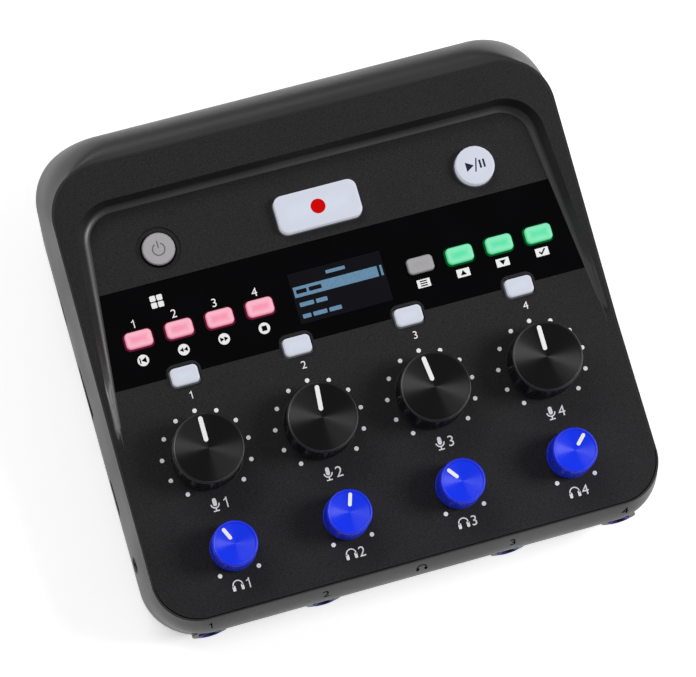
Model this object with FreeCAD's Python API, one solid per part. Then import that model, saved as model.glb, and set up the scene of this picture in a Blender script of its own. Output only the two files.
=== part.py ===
import FreeCAD, Part
import math
import os

from FreeCAD import Placement, Rotation, Vector

# A portable podcast recorder with four microphone channels, in millimetres.
# X runs to the right, Y to the rear and Z up. The origin is on the ground under the middle of the housing.
# The control panel is a tilted plane with its own coordinates: u to the right, v up the slope, w out of it.
# Its origin is in the middle of the microphone knob row.

# Overall size of the housing: its height is that of the rim at the cover's rear edge
body_width = 139.0
body_depth = 132.4
body_height = 46.0

# Walls
wall = 2.2
floor_thickness = 2.2
foot_height = 1.2

# The panel slopes up to the rear, and the rim round it slopes a little more
panel_tilt = 5.0
rim_tilt = 4.6
cover_thickness = 2.4
cover_gap = 0.3
case_lip = 0.3

# How far the grey walls bulge out past the edge of the black cover
side_bulge = 2.0
side_curve = 1.2
side_lean = 2.0
front_bulge = 1.96
front_crest = 7.2
front_lean = 10.0
rear_bulge = 10.8
rear_lean = 1.0
roll_depth = 20.0
roll_steps = 5
deep_section = 56.0
cavity_depth = 2.0

# Corner radii, seen from above
cover_front_radius = 11.5
cover_rear_radius = 13.5
case_front_radius = 14.6
rear_radius_swell = 24.0
rear_radius_return = 22.4

# The recess inside the horseshoe rim
rim_start = 6.0
recess_foot_inset = 2.0
recess_rim_overhang = 0.1
recess_taper = 0.077
recess_foot_rear = 68.6
recess_rim_rear = 69.4
recess_foot_radius = 9.0
recess_rim_radius = 10.6
recess_overshoot = 1.5
recess_front_height = 0.3
rim_wall = 2.2
rim_channel_half = 50.0

# The ledge that carries the cover, and the seam of the rear cover
ledge_width = 1.6
ledge_thickness = 1.6
seam_outer_x = 76.0
seam_outer_y = 63.9
seam_inner_x = 62.8
seam_inner_y = 52.9

# Knobs and their shafts
knob_pitch = 30.0
knob_row_from_front = 40.15
phones_row_v = -25.0
shaft_radius = 3.0
shaft_flat = 2.2
shaft_clearance = 0.05
socket_clearance = 0.02
bushing_wall = 0.8
bushing_top = -0.3
bushing_hole_gap = 0.4
pot_floor = 0.8
shaft_lift = 1.0
knob_lift = 0.6
knob_shell = 1.3
hub_radius = 4.1
hub_lift = 1.0
mic_knob_radius = 9.5
mic_knob_top_radius = 9.25
mic_knob_height = 10.5
phones_knob_radius = 6.05
phones_knob_top_radius = 5.85
phones_knob_height = 10.0
knob_chamfer = 0.5
knob_dish = 0.6

# Circuit board under the panel, with its pots and push switches
board_drop = 9.0
board_thickness = 1.6
board_side_inset = 4.9
board_front_v = -31.5
board_rear_v = 62.0
board_corner = 3.0
mic_pot_size = (11.0, 12.0)
phones_pot_size = (9.8, 10.6)
pot_gap = 0.4
switch_size = 6.0
switch_body_height = 3.4
switch_height = 4.3
switch_plunger_radius = 1.7
standoff_radius = 2.2
standoff_inset = 5.0
standoff_rows = (-14.0, 10.0, 57.0)
standoff_inner_places = ((0.0, -14.0), (0.0, 10.0), (-27.0, 57.0), (27.0, 57.0))

# Buttons
button_gap = 0.25
button_fillet = 0.5
flange_margin = 0.7
flange_thickness = 0.8
flange_gap = 0.1
press_gap = 0.55
stem_radius = 1.5
small_button_width = 7.5
small_button_depth = 4.7
small_button_radius = 1.25
small_button_rise = 1.3
button_pitch = 10.75
first_button_u = 21.6
button_row_v = 33.0
mute_depth = 5.0
mute_row_v = 20.9
record_width = 22.3
record_depth = 10.2
record_radius = 2.3
record_rise = 2.3
record_row_v = 54.5
round_button_u = 42.7
power_radius = 4.5
power_rise = 0.9
power_well_radius = 5.9
power_well_depth = 0.35
play_radius = 5.2
play_rise = 2.3

# Control strip and display
strip_front_v = 21.3
strip_rear_v = 46.5
strip_thickness = 1.0
strip_gap = 0.12
notch_width = 9.1
notch_front_v = 16.0
notch_rear_v = 24.4
notch_radius = 2.3
display_v = 32.8
display_width = 25.0
display_depth = 13.6
display_corner = 0.4
display_inset = 0.15
display_gap = 0.1
display_margin = 1.6
display_thickness = 2.2

# Lower circuit board
lower_board_top = 12.0
lower_board_inset = 5.0
lower_board_rear = 39.0
lower_board_corner = 12.0
board_gap = 0.6
board_post_radius = 2.6
board_post_places = ((36.0, -44.0), (58.0, -12.0), (40.0, 34.0))

# Headphone jacks in the front wall, and the phone jack in the left wall
jack_inner_x = 25.0
jack_outer_inset = 14.0
jack_height = 15.0
jack_bore_radius = 1.8
jack_bore_depth = 14.0
jack_nose_radius = 2.2
jack_nose_gap = 0.15
jack_nose_proud = 0.2
jack_block_width = 9.4
jack_block_height = 6.5
jack_block_length = 12.0
jack_block_gap = 0.2
jack_boss_radius = 4.6
jack_boss_depth = 4.0
jack_boss_inset = 1.0
ring_radius = 2.9
ring_proud = 0.4
ring_gap = 0.1
phone_jack_y = -43.0

# Microphone sockets in the rear cover
xlr_height = 18.6
xlr_barrel_radius = 11.4
xlr_gap = 0.2
xlr_recess_radius = 12.4
xlr_recess_depth = 1.6
xlr_pad_radius = 13.3
xlr_pad_thickness = 2.7
xlr_proud = 0.3
xlr_length = 20.0
xlr_groove_outer = 9.6
xlr_groove_inner = 7.8
xlr_groove_depth = 15.0
xlr_insert_inset = 1.2
xlr_flange = 24.0
xlr_flange_thickness = 2.0
xlr_hole_radius = 1.5
xlr_hole_places = ((-3.2, 2.0), (3.2, 2.0), (0.0, -3.9))
xlr_contact_gap = 0.05
xlr_contact_bore = 1.15
xlr_contact_inset = 1.0
xlr_contact_bore_depth = 9.0
input_board_thickness = 1.6
input_board_margin = 11.5
input_board_low = 8.0
input_board_high = 28.0

# Ports in the left wall
usb_places = (-24.2, 28.6)
usb_width = 8.9
usb_height = 3.2
usb_corner = 1.5
usb_length = 7.4
usb_shell = 0.35
usb_cup_depth = 6.2
usb_tongue_width = 6.7
usb_tongue_height = 0.7
usb_tongue_inset = 0.8
usb_inset = 1.6
port_margin = 0.4
card_y = 6.0
card_socket_width = 14.2
card_socket_height = 1.9
card_socket_length = 14.0
card_slot_width = 11.6
card_slot_height = 0.9
card_slot_depth = 12.0
card_inset = 3.2
card_scoop_radius = 26.0
card_scoop_depth = 1.6
usb_scoop_radius = 11.5
usb_scoop_depth = 1.0
scoop_low = 8.8
scoop_high = 19.0
scoop_pad = 1.6
scoop_pad_margin = 1.5

# Slide switches in the right wall
slider_places = (-20.3, -31.7)
slider_height = 18.0
slider_length = 3.2
slider_width = 2.0
slider_travel = 2.6
slider_proud = 0.6
slider_gap = 0.3
slider_root_length = 8.0
slider_root_width = 4.4
slider_root_thickness = 1.0
slider_stem_length = 1.6
slider_stem_width = 1.2
slider_stem_depth = 1.7
switch_base_length = 11.0
switch_base_inset = 4.5
switch_base_depth = 7.0
switch_base_top = 20.6

# Battery box for four cells that lie across the housing, and its door
bay_half_length = 28.0
bay_front = -30.5
bay_rear = 29.0
bay_depth = 14.7
bay_wall = 2.2
bay_roof = 1.4
door_overlap = 1.3
door_thickness = 2.0
door_gap = 0.3
door_pin_radius = 0.5
door_pin_length = 1.4
door_pin_gap = 0.08
door_grip_width = 14.0
door_grip_length = 3.0
door_grip_depth = 0.8
contact_thickness = 0.5
contact_width = 11.0
contact_height = 9.0
spring_radius = 3.4
spring_length = 2.6

# Feet, screws and the posts that the screws go through
foot_radius = 5.0
foot_recess = 0.5
foot_gap = 0.1
foot_place = (51.0, 51.0)
screw_front_inset = 8.7
screw_front_shift = 0.05
screw_front_top = 18.0
screw_rear_inset = 18.7
screw_flange_gap = 0.3
screw_rear_top = 30.0
post_radius = 4.0
cover_post_radius = 3.1
screw_radius = 1.3
screw_hole_gap = 0.2
screw_bite_gap = 0.02
screw_head_radius = 2.6
screw_head_height = 1.6
screw_head_gap = 0.3
screw_seat = 5.2
screw_bite = 6.0

# Sizes that follow from the ones above
half_width = body_width / 2
half_depth = body_depth / 2
case_bottom = foot_height
floor_top = case_bottom + floor_thickness
cover_half = half_width - side_bulge - case_lip - cover_gap
cover_front = -half_depth + front_bulge + case_lip + cover_gap
cover_rear = half_depth - rear_bulge - case_lip - cover_gap
recess_foot_half = cover_half - recess_foot_inset
recess_rim_half = cover_half + recess_rim_overhang
knob_row_y = cover_front + knob_row_from_front
panel_slope = math.tan(math.radians(panel_tilt))
rim_slope = math.tan(math.radians(panel_tilt + rim_tilt))
hinge_y = knob_row_y + rim_start * math.cos(math.radians(panel_tilt))
hinge_z = body_height - (cover_rear - hinge_y) * rim_slope
knob_row_z = hinge_z - (hinge_y - knob_row_y) * panel_slope
panel = Placement(Vector(0, knob_row_y, knob_row_z), Rotation(Vector(1, 0, 0), panel_tilt))
reach = 2 * body_width
plunger_top = -board_drop + switch_height
board_half_width = cover_half - board_side_inset
standoff_outer_u = board_half_width - standoff_inset
standoff_outer_places = [(side * standoff_outer_u, v) for side in (-1, 1) for v in standoff_rows]
standoff_places = standoff_outer_places + list(standoff_inner_places)
lower_board_half_width = half_width - lower_board_inset
switch_base_face = half_width - switch_base_inset
switch_base_back = switch_base_face - switch_base_depth
lower_board_bottom = lower_board_top - board_thickness
knob_columns = [(channel - 1.5) * knob_pitch for channel in range(4)]
input_board_half_width = knob_columns[-1] + input_board_margin
jack_outer_x = half_width - jack_outer_inset
screw_front_x = (jack_inner_x + jack_outer_x) / 2 - screw_front_shift
screw_front = (screw_front_x, screw_front_inset - half_depth, screw_front_top)
screw_rear_x = knob_columns[-1] + xlr_flange / 2 + post_radius + screw_flange_gap
screw_rear = (screw_rear_x, half_depth - screw_rear_inset, screw_rear_top)
screw_places = (screw_front, screw_rear)
jack_columns = (-jack_outer_x, -jack_inner_x, jack_inner_x, jack_outer_x)
jack_face_y = -half_depth + jack_boss_inset
jack_block_y = jack_face_y + jack_boss_depth + jack_block_gap
lower_board_front = jack_block_y
card_face_x = -half_width + card_inset
port_cut_end = -half_width + wall + scoop_pad + port_margin
xlr_floor_y = half_depth - xlr_recess_depth
xlr_pad_back = xlr_floor_y - xlr_pad_thickness
xlr_face_y = xlr_floor_y + xlr_proud
xlr_back_y = xlr_face_y - xlr_length
box_front = bay_front - bay_wall
box_rear = bay_rear + bay_wall
box_half = bay_half_length + bay_wall
bay_top = floor_top + bay_depth
door_half = bay_half_length + door_overlap - door_gap
door_front = bay_front - door_overlap + door_gap
door_rear = bay_rear + door_overlap - door_gap
door_top = case_bottom + door_thickness
door_pin_y = door_rear - door_thickness / 2
door_pin_z = case_bottom + door_thickness / 2


def top_height(y):
    """Height of the housing's top surface over a place y: the panel in front, the rim behind."""
    slope = panel_slope if y <= hinge_y else rim_slope
    return hinge_z + (y - hinge_y) * slope


def block(x0, x1, y0, y1, z0, z1):
    return Part.makeBox(x1 - x0, y1 - y0, z1 - z0, Vector(x0, y0, z0))


def rod(radius, start, end):
    """A round bar between two points."""
    along = end.sub(start)
    return Part.makeCylinder(radius, along.Length, start, along)


def upright(radius, x, y, z0, z1):
    return rod(radius, Vector(x, y, z0), Vector(x, y, z1))


def lengthwise(radius, x, z, y0, y1):
    return rod(radius, Vector(x, y0, z), Vector(x, y1, z))


def slab(outline, z0, z1):
    """A straight-walled plate: an outline drawn at z = 0, raised from z0 to z1."""
    face = Part.Face(outline)
    face.translate(Vector(0, 0, z0))
    return face.extrude(Vector(0, 0, z1 - z0))


def rounded_rectangle(x, y, width, depth, radius):
    a = width / 2
    b = depth / 2
    k = radius * (1 - math.sqrt(0.5))
    corners = []
    for sx, sy in ((1, -1), (1, 1), (-1, 1), (-1, -1)):
        across = Vector(x + sx * (a - radius), y + sy * b, 0)
        bend = Vector(x + sx * (a - k), y + sy * (b - k), 0)
        along = Vector(x + sx * a, y + sy * (b - radius), 0)
        corners.append((across, bend, along) if sx == -sy else (along, bend, across))
    edges = []
    for i, (first, bend, last) in enumerate(corners):
        following = corners[(i + 1) % 4][0]
        edges.append(Part.Arc(first, bend, last).toShape())
        if last.distanceToPoint(following) > 1e-6:
            edges.append(Part.makeLine(last, following))
    return Part.Wire(edges)


def circle(x, y, radius):
    return Part.Wire(Part.makeCircle(radius, Vector(x, y, 0)))


def sideways(outline, x0, x1):
    """A bar along X whose outline is drawn with y and z as its two directions."""
    bar = slab(outline, x0, x1)
    bar.rotate(Vector(0, 0, 0), Vector(1, 1, 1), 120)
    return bar


def polygon(points):
    return Part.makePolygon([Vector(*p) for p in points] + [Vector(*points[0])])


def turned(profile, x=0, y=0):
    """A turned piece: (radius, height) points spun round an upright axis."""
    face = Part.Face(polygon([(r, 0, z) for r, z in profile]))
    piece = face.revolve(Vector(0, 0, 0), Vector(0, 0, 1), 360)
    piece.translate(Vector(x, y, 0))
    return piece


def join(first, *others):
    return first.multiFuse(list(others)).removeSplitter()


def onto_panel(shape):
    placed = shape.copy()
    placed.Placement = panel.multiply(placed.Placement)
    return placed


def save(name, *pieces):
    shape = pieces[0] if len(pieces) == 1 else Part.makeCompound(list(pieces))
    shape.exportStep(f"parts/{name}.step")
    solids = shape.Solids
    valid = all(s.isValid() for s in solids)
    print(name, "solids:", len(solids), "valid" if valid else "NOT VALID")


# The housing's outer form: rounded outlines, each a fixed depth below the sloping top. A smooth loft joins
# those of the rolled shoulder, and a straight one the last two. Below its crest the front wall leans in.
def case_offsets(depth):
    """How far each wall stands out from its top edge at a depth, and the share of the roll there."""
    left = max(0.0, 1 - depth / roll_depth)
    below = max(0.0, depth - roll_depth)
    share = math.sqrt(1 - left**2)
    side = side_bulge * (1 - left**side_curve) - below * math.tan(math.radians(side_lean))
    rear = rear_bulge * share - below * math.tan(math.radians(rear_lean))
    slope = math.tan(math.radians(front_lean))
    turn = min(depth, front_crest + slope * front_crest**2 / (2 * front_bulge))
    front = front_bulge * (1 - (turn / front_crest - 1) ** 2) - slope * (depth - turn)
    return side, front, rear, share


def case_section(depth, inset):
    side, front, rear, share = case_offsets(depth)
    edge = cover_gap + case_lip - inset
    half = cover_half + edge + side
    y_front = cover_front - edge - front
    y_rear = cover_rear + edge + rear
    r_front = cover_front_radius + share * (case_front_radius - cover_front_radius) - inset
    r_rear = cover_rear_radius + share * (rear_radius_swell - share * rear_radius_return) - inset

    def at(x, y):
        return Vector(x, y, top_height(y) - depth)

    def bend(x, y, sx, sy, r):
        """The arc round a corner's centre, turning from one side to the next."""
        k = r * math.sqrt(0.5)
        side_end = at(x + sx * r, y)
        cross_end = at(x, y + sy * r)
        ends = (side_end, cross_end) if sx == sy else (cross_end, side_end)
        return Part.Arc(ends[0], at(x + sx * k, y + sy * k), ends[1]).toShape()

    edges = [
        Part.makeLine(at(half, y_front + r_front), at(half, hinge_y)),
        Part.makeLine(at(half, hinge_y), at(half, y_rear - r_rear)),
        bend(half - r_rear, y_rear - r_rear, 1, 1, r_rear),
        Part.makeLine(at(half - r_rear, y_rear), at(r_rear - half, y_rear)),
        bend(r_rear - half, y_rear - r_rear, -1, 1, r_rear),
        Part.makeLine(at(-half, y_rear - r_rear), at(-half, hinge_y)),
        Part.makeLine(at(-half, hinge_y), at(-half, y_front + r_front)),
        bend(r_front - half, y_front + r_front, -1, -1, r_front),
        Part.makeLine(at(r_front - half, y_front), at(half - r_front, y_front)),
        bend(half - r_front, y_front + r_front, 1, -1, r_front),
    ]
    hinge = Part.makeLine(at(half, hinge_y), at(-half, hinge_y))
    return edges, hinge


def case_form(first_depth, inset):
    """The closed form inside one set of walls, from a depth under the top down past the ground."""
    first_turn = math.acos(1 - first_depth / roll_depth)
    step = (math.pi / 2 - first_turn) / roll_steps
    depths = [roll_depth * (1 - math.cos(first_turn + i * step)) for i in range(roll_steps + 1)]
    sections = [case_section(depth, inset) for depth in depths + [deep_section]]
    wires = [Part.Wire(edges) for edges, hinge in sections]
    faces = Part.makeLoft(wires[:-1], False, False).Faces + Part.makeLoft(wires[-2:], False, True).Faces
    for edges, hinge in (sections[0], sections[-1]):
        faces.append(Part.Face(Part.Wire(edges[1:6] + [hinge])))
        faces.append(Part.Face(Part.Wire(edges[6:] + edges[:1] + [hinge])))
    shell = Part.Shell(faces)
    shell.sewShape()
    solid = Part.Solid(Part.Shell(shell.Faces))
    if solid.Volume < 0:
        solid.reverse()
    return solid


def cover_prism(margin):
    """Upright prism over the cover's outline grown by a margin, rounder at its rear corners."""
    half = cover_half + margin
    front = cover_front - margin
    rear = cover_rear + margin
    halves = []
    for radius, y0, y1 in ((cover_front_radius, -reach, hinge_y), (cover_rear_radius, hinge_y, reach)):
        outline = rounded_rectangle(0, (front + rear) / 2, 2 * half, rear - front, radius + margin)
        halves.append(slab(outline, 0, reach).common(block(-reach, reach, y0, y1, 0, reach)))
    return join(*halves)


def under_top(depth):
    """Everything more than a depth below the sloping top."""
    front = cover_front - rear_bulge - reach
    back = cover_rear + reach
    side = polygon(
        [
            (-reach, front, -reach),
            (-reach, back, -reach),
            (-reach, back, top_height(back) - depth),
            (-reach, hinge_y, hinge_z - depth),
            (-reach, front, top_height(front) - depth),
        ]
    )
    return Part.Face(side).extrude(Vector(2 * reach, 0, 0))


def panel_slab(w0, w1):
    """The layer of space between two levels of the panel's own frame."""
    return onto_panel(block(-reach, reach, -reach, reach, w0, w1))


# The recess in the cover: a flat panel whose walls flare out to the rim's edge.
def recess_outline(half, rear, radius, height, slope):
    """One end of the recess walls: side lines that draw in to the rear, and round rear corners."""
    lean = math.atan(recess_taper)
    centre_v = rear - radius
    centre_u = half - recess_taper * (centre_v - rim_start) - radius / math.cos(lean)

    def at(u, v):
        return Vector(u, v, height + (v - rim_start) * slope)

    def on_corner(side, angle):
        return at(side * (centre_u + radius * math.cos(angle)), centre_v + radius * math.sin(angle))

    middle = (lean + math.pi / 2) / 2
    side_ends = [on_corner(side, lean) for side in (1, -1)]
    rear_ends = [on_corner(side, math.pi / 2) for side in (1, -1)]
    return [
        Part.makeLine(at(half, rim_start), side_ends[0]),
        Part.Arc(side_ends[0], on_corner(1, middle), rear_ends[0]).toShape(),
        Part.makeLine(rear_ends[0], rear_ends[1]),
        Part.Arc(rear_ends[1], on_corner(-1, middle), side_ends[1]).toShape(),
        Part.makeLine(side_ends[1], at(-half, rim_start)),
    ]


def recess_form():
    """The space of the recess, from the panel up past the rim."""
    foot_half = recess_foot_half
    rim_half = foot_half + recess_overshoot * (recess_rim_half - recess_foot_half)
    rim_rear = recess_foot_rear + recess_overshoot * (recess_rim_rear - recess_foot_rear)
    rim_radius = recess_foot_radius + recess_overshoot * (recess_rim_radius - recess_foot_radius)
    rise = recess_overshoot * math.tan(math.radians(rim_tilt))
    foot = recess_outline(foot_half, recess_foot_rear, recess_foot_radius, 0, 0)
    rim = recess_outline(rim_half, rim_rear, rim_radius, recess_front_height, rise)
    corners = [
        Vector(-rim_half, rim_start, recess_front_height),
        Vector(-foot_half, rim_start, 0),
        Vector(foot_half, rim_start, 0),
        Vector(rim_half, rim_start, recess_front_height),
    ]
    front = Part.makePolygon(corners + corners[:1]).Edges
    faces = [Part.makeRuledSurface(low, high) for low, high in zip(foot, rim)]
    faces.append(Part.Face(Part.Wire(foot + [front[1]])))
    faces.append(Part.Face(Part.Wire(rim + [front[3]])))
    faces.append(Part.Face(Part.Wire(front)))
    shell = Part.Shell(faces)
    shell.sewShape()
    solid = Part.Solid(Part.Shell(shell.Faces))
    if solid.Volume < 0:
        solid.reverse()
    return onto_panel(solid)


def foot_half_at(v):
    """Half width of the flat panel between the recess walls."""
    return recess_foot_half - recess_taper * (v - rim_start)


def strip_form(gap, w0, w1):
    front = foot_half_at(strip_front_v) - gap
    rear = foot_half_at(strip_rear_v) - gap
    low = strip_front_v + gap
    high = strip_rear_v - gap
    return slab(polygon([(-front, low, 0), (front, low, 0), (rear, high, 0), (-rear, high, 0)]), w0, w1)


# Outlines of the buttons, in panel coordinates, grown by a margin.
def small_outline(u, v, depth, margin):
    width = small_button_width + 2 * margin
    return rounded_rectangle(u, v, width, depth + 2 * margin, small_button_radius + margin)


def button_places():
    """Every push button: its name, outline function, middle and rise above the panel."""
    places = []

    def small(u, v, depth):
        return lambda margin: small_outline(u, v, depth, margin)

    for i in range(4):
        outer_u = first_button_u + (3 - i) * button_pitch
        inner_u = first_button_u + i * button_pitch
        for name, u in ((f"pad_button_{i + 1}", -outer_u), (f"function_button_{i + 1}", inner_u)):
            places.append((name, small(u, button_row_v, small_button_depth), u, button_row_v))
    for i, u in enumerate(knob_columns):
        places.append((f"mute_button_{i + 1}", small(u, mute_row_v, mute_depth), u, mute_row_v))
    places = [place + (small_button_rise,) for place in places]

    def record(margin):
        width = record_width + 2 * margin
        return rounded_rectangle(0, record_row_v, width, record_depth + 2 * margin, record_radius + margin)

    def power(margin):
        return circle(-round_button_u, record_row_v, power_radius + margin)

    def play(margin):
        return circle(round_button_u, record_row_v, play_radius + margin)

    places.append(("record_button", record, 0, record_row_v, record_rise))
    places.append(("power_button", power, -round_button_u, record_row_v, power_rise))
    places.append(("play_button", play, round_button_u, record_row_v, play_rise))
    return places


buttons = button_places()


def make_button(outline, u, v, rise):
    """A cap with a soft top edge, a flange that holds it under the cover, and a stem for its switch."""
    flange_top = -cover_thickness - flange_gap
    cap = slab(outline(0), flange_top, rise)
    rim_edges = [e for e in cap.Edges if min(p.Point.z for p in e.Vertexes) > rise - 1e-6]
    cap = cap.makeFillet(button_fillet, rim_edges)
    flange = slab(outline(flange_margin), flange_top - flange_thickness, flange_top)
    stem = upright(stem_radius, u, v, plunger_top + press_gap, flange_top)
    return onto_panel(join(cap, flange, stem))


def make_tact_switch(u, v):
    half = switch_size / 2
    body = block(u - half, u + half, v - half, v + half, -board_drop, -board_drop + switch_body_height)
    plunger = upright(switch_plunger_radius, u, v, -board_drop, plunger_top)
    return onto_panel(join(body, plunger))


def shaft_form(u, v, radius, w0, w1):
    """A round shaft with one flat, facing down the panel, on the part that is inside the knob."""
    shaft = upright(radius, u, v, w0, w1)
    flat_v = v - shaft_flat - (radius - shaft_radius)
    return shaft.cut(block(u - reach, u + reach, v - reach, flat_v, knob_lift + hub_lift, reach))


def shaft_top(knob_height):
    return knob_height - knob_dish - knob_shell


def make_shaft(u, v, knob_height):
    return onto_panel(shaft_form(u, v, shaft_radius, -board_drop + shaft_lift, shaft_top(knob_height)))


def make_pot(u, v, size):
    """A potentiometer: a block on the board, and a bushing that reaches up into the cover's hole."""
    a, b = (side / 2 for side in size)
    body = block(u - a, u + a, v - b, v + b, -board_drop, -cover_thickness - pot_gap)
    bushing = upright(shaft_radius + shaft_clearance + bushing_wall, u, v, -board_drop, bushing_top)
    bore = upright(shaft_radius + shaft_clearance, u, v, -board_drop + pot_floor, knob_lift)
    return onto_panel(join(body, bushing).cut(bore))


def make_knob(u, v, base_radius, top_radius, height):
    """A hollow knob with a dished top, a chamfered edge and a hub with a D-shaped socket."""
    inside = base_radius - knob_shell
    ceiling = height - knob_dish - knob_shell
    profile = [
        (0, height - knob_dish),
        (top_radius - knob_chamfer, height),
        (top_radius, height - knob_chamfer),
        (base_radius, knob_lift),
        (inside, knob_lift),
        (inside, ceiling),
        (hub_radius, ceiling),
        (hub_radius, knob_lift + hub_lift),
        (0, knob_lift + hub_lift),
    ]
    knob = turned(profile, u, v)
    return onto_panel(knob.cut(shaft_form(u, v, shaft_radius + socket_clearance, 0, ceiling)))


# The black cover
def notch_form(u, margin):
    middle = (notch_front_v + notch_rear_v) / 2
    depth = notch_rear_v - notch_front_v + 2 * margin
    return slab(
        rounded_rectangle(u, middle, notch_width + 2 * margin, depth, notch_radius + margin),
        -cover_thickness,
        cover_thickness,
    )


def display_outline(margin):
    return rounded_rectangle(
        0, display_v, display_width + 2 * margin, display_depth + 2 * margin, display_corner + margin
    )


def make_top_cover():
    below_panel = panel_slab(-reach, -cover_thickness)
    cover = cover_prism(0).common(under_top(0)).cut(below_panel).cut(recess_form())
    channel_front = knob_row_y + recess_rim_rear + rim_wall
    channel = block(-rim_channel_half, rim_channel_half, channel_front, cover_rear - rim_wall, 0, reach)
    cover = cover.cut(channel.common(under_top(rim_wall)))
    pocket = strip_form(0, -strip_thickness, strip_thickness / 2)
    for u in knob_columns:
        pocket = pocket.cut(notch_form(u, 0))
    cuts = [pocket, slab(display_outline(display_gap), -reach, reach)]
    cuts.append(upright(power_well_radius, -round_button_u, record_row_v, -power_well_depth, power_rise))
    cuts += [slab(outline(button_gap), -reach, reach) for name, outline, u, v, rise in buttons]
    hole_radius = shaft_radius + shaft_clearance + bushing_wall + bushing_hole_gap
    for u in knob_columns:
        cuts += [upright(hole_radius, u, v, -cover_thickness - 1, 1) for v in (0, phones_row_v)]
    cover = cover.cut([onto_panel(cut) for cut in cuts])
    additions = []
    for u, v in standoff_places:
        additions.append(onto_panel(upright(standoff_radius, u, v, -board_drop, -cover_thickness)))
    for x, y, z in screw_places:
        for side in (-1, 1):
            additions.append(upright(cover_post_radius, side * x, y, z, body_height).common(below_panel))
    cover = join(cover, *additions)
    pilots = [
        upright(screw_radius + screw_bite_gap, side * x, y, z - 1, z + screw_bite)
        for x, y, z in screw_places
        for side in (-1, 1)
    ]
    return cover.cut(pilots)


def make_control_strip():
    strip = strip_form(strip_gap, -strip_thickness, 0)
    cuts = [notch_form(u, strip_gap) for u in knob_columns]
    cuts += [slab(outline(button_gap), -reach, reach) for name, outline, u, v, rise in buttons[:8]]
    cuts.append(slab(display_outline(display_gap), -reach, reach))
    return onto_panel(strip.cut(cuts))


def make_display():
    """A glass front that fills the window, on a wider body under the cover."""
    glass = slab(display_outline(0), -cover_thickness, -display_inset)
    body = slab(display_outline(display_margin), -cover_thickness - display_thickness, -cover_thickness)
    return onto_panel(join(glass, body))


# The grey housing
def scoop_cutters():
    """Finger scoops round the card slot and the rear port: cylinders that dip into the left wall."""
    cutters = []
    pads = []
    for y, radius, depth in (
        (card_y, card_scoop_radius, card_scoop_depth),
        (usb_places[1], usb_scoop_radius, usb_scoop_depth),
    ):
        cutters.append(upright(radius, -half_width - radius + depth, y, scoop_low, scoop_high))
        half = math.sqrt(2 * radius * depth - depth**2) + scoop_pad_margin
        inner = -half_width + wall + scoop_pad
        low = scoop_low - scoop_pad_margin
        pads.append(block(-half_width, inner, y - half, y + half, low, scoop_high + scoop_pad_margin))
    return cutters, pads


def usb_outline(y, margin):
    middle = lower_board_top + usb_height / 2
    width = usb_width + 2 * margin
    return rounded_rectangle(y, middle, width, usb_height + 2 * margin, usb_corner + margin)


def card_outline(width, height, margin):
    middle = lower_board_top + card_socket_height / 2
    return rounded_rectangle(card_y, middle, width + 2 * margin, height + 2 * margin, margin)


def make_housing():
    """The bottom case and the rear cover, cut from one form along the rear cover's seam."""
    below = block(-reach, reach, -reach, reach, -reach, case_bottom)
    outer = case_form(0, 0).cut(below)
    cavity = case_form(cavity_depth, wall).cut(block(-reach, reach, -reach, reach, -reach, floor_top))
    pocket = cover_prism(cover_gap).common(panel_slab(-cover_thickness, reach))
    ledge = panel_slab(-cover_thickness - ledge_thickness, -cover_thickness).common(outer)
    case = join(outer.cut(cavity), ledge.cut(cover_prism(-ledge_width))).cut(pocket)
    seam = [
        (seam_inner_x, seam_inner_y, 0),
        (seam_outer_x, seam_outer_y, 0),
        (seam_outer_x, reach, 0),
        (-seam_outer_x, reach, 0),
        (-seam_outer_x, seam_outer_y, 0),
        (-seam_inner_x, seam_inner_y, 0),
    ]
    rear_zone = slab(polygon(seam), floor_top, reach)
    return case.cut(rear_zone), case.common(rear_zone), outer


def finish_rear_cover(rear, outer):
    pads = []
    cuts = []
    for x in knob_columns:
        pads.append(lengthwise(xlr_pad_radius, x, xlr_height, xlr_pad_back, half_depth).common(outer))
        cuts.append(lengthwise(xlr_recess_radius, x, xlr_height, xlr_floor_y, reach))
        cuts.append(lengthwise(xlr_barrel_radius + xlr_gap, x, xlr_height, xlr_pad_back - 1, reach))
    return join(rear, *pads).cut(cuts)


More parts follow.
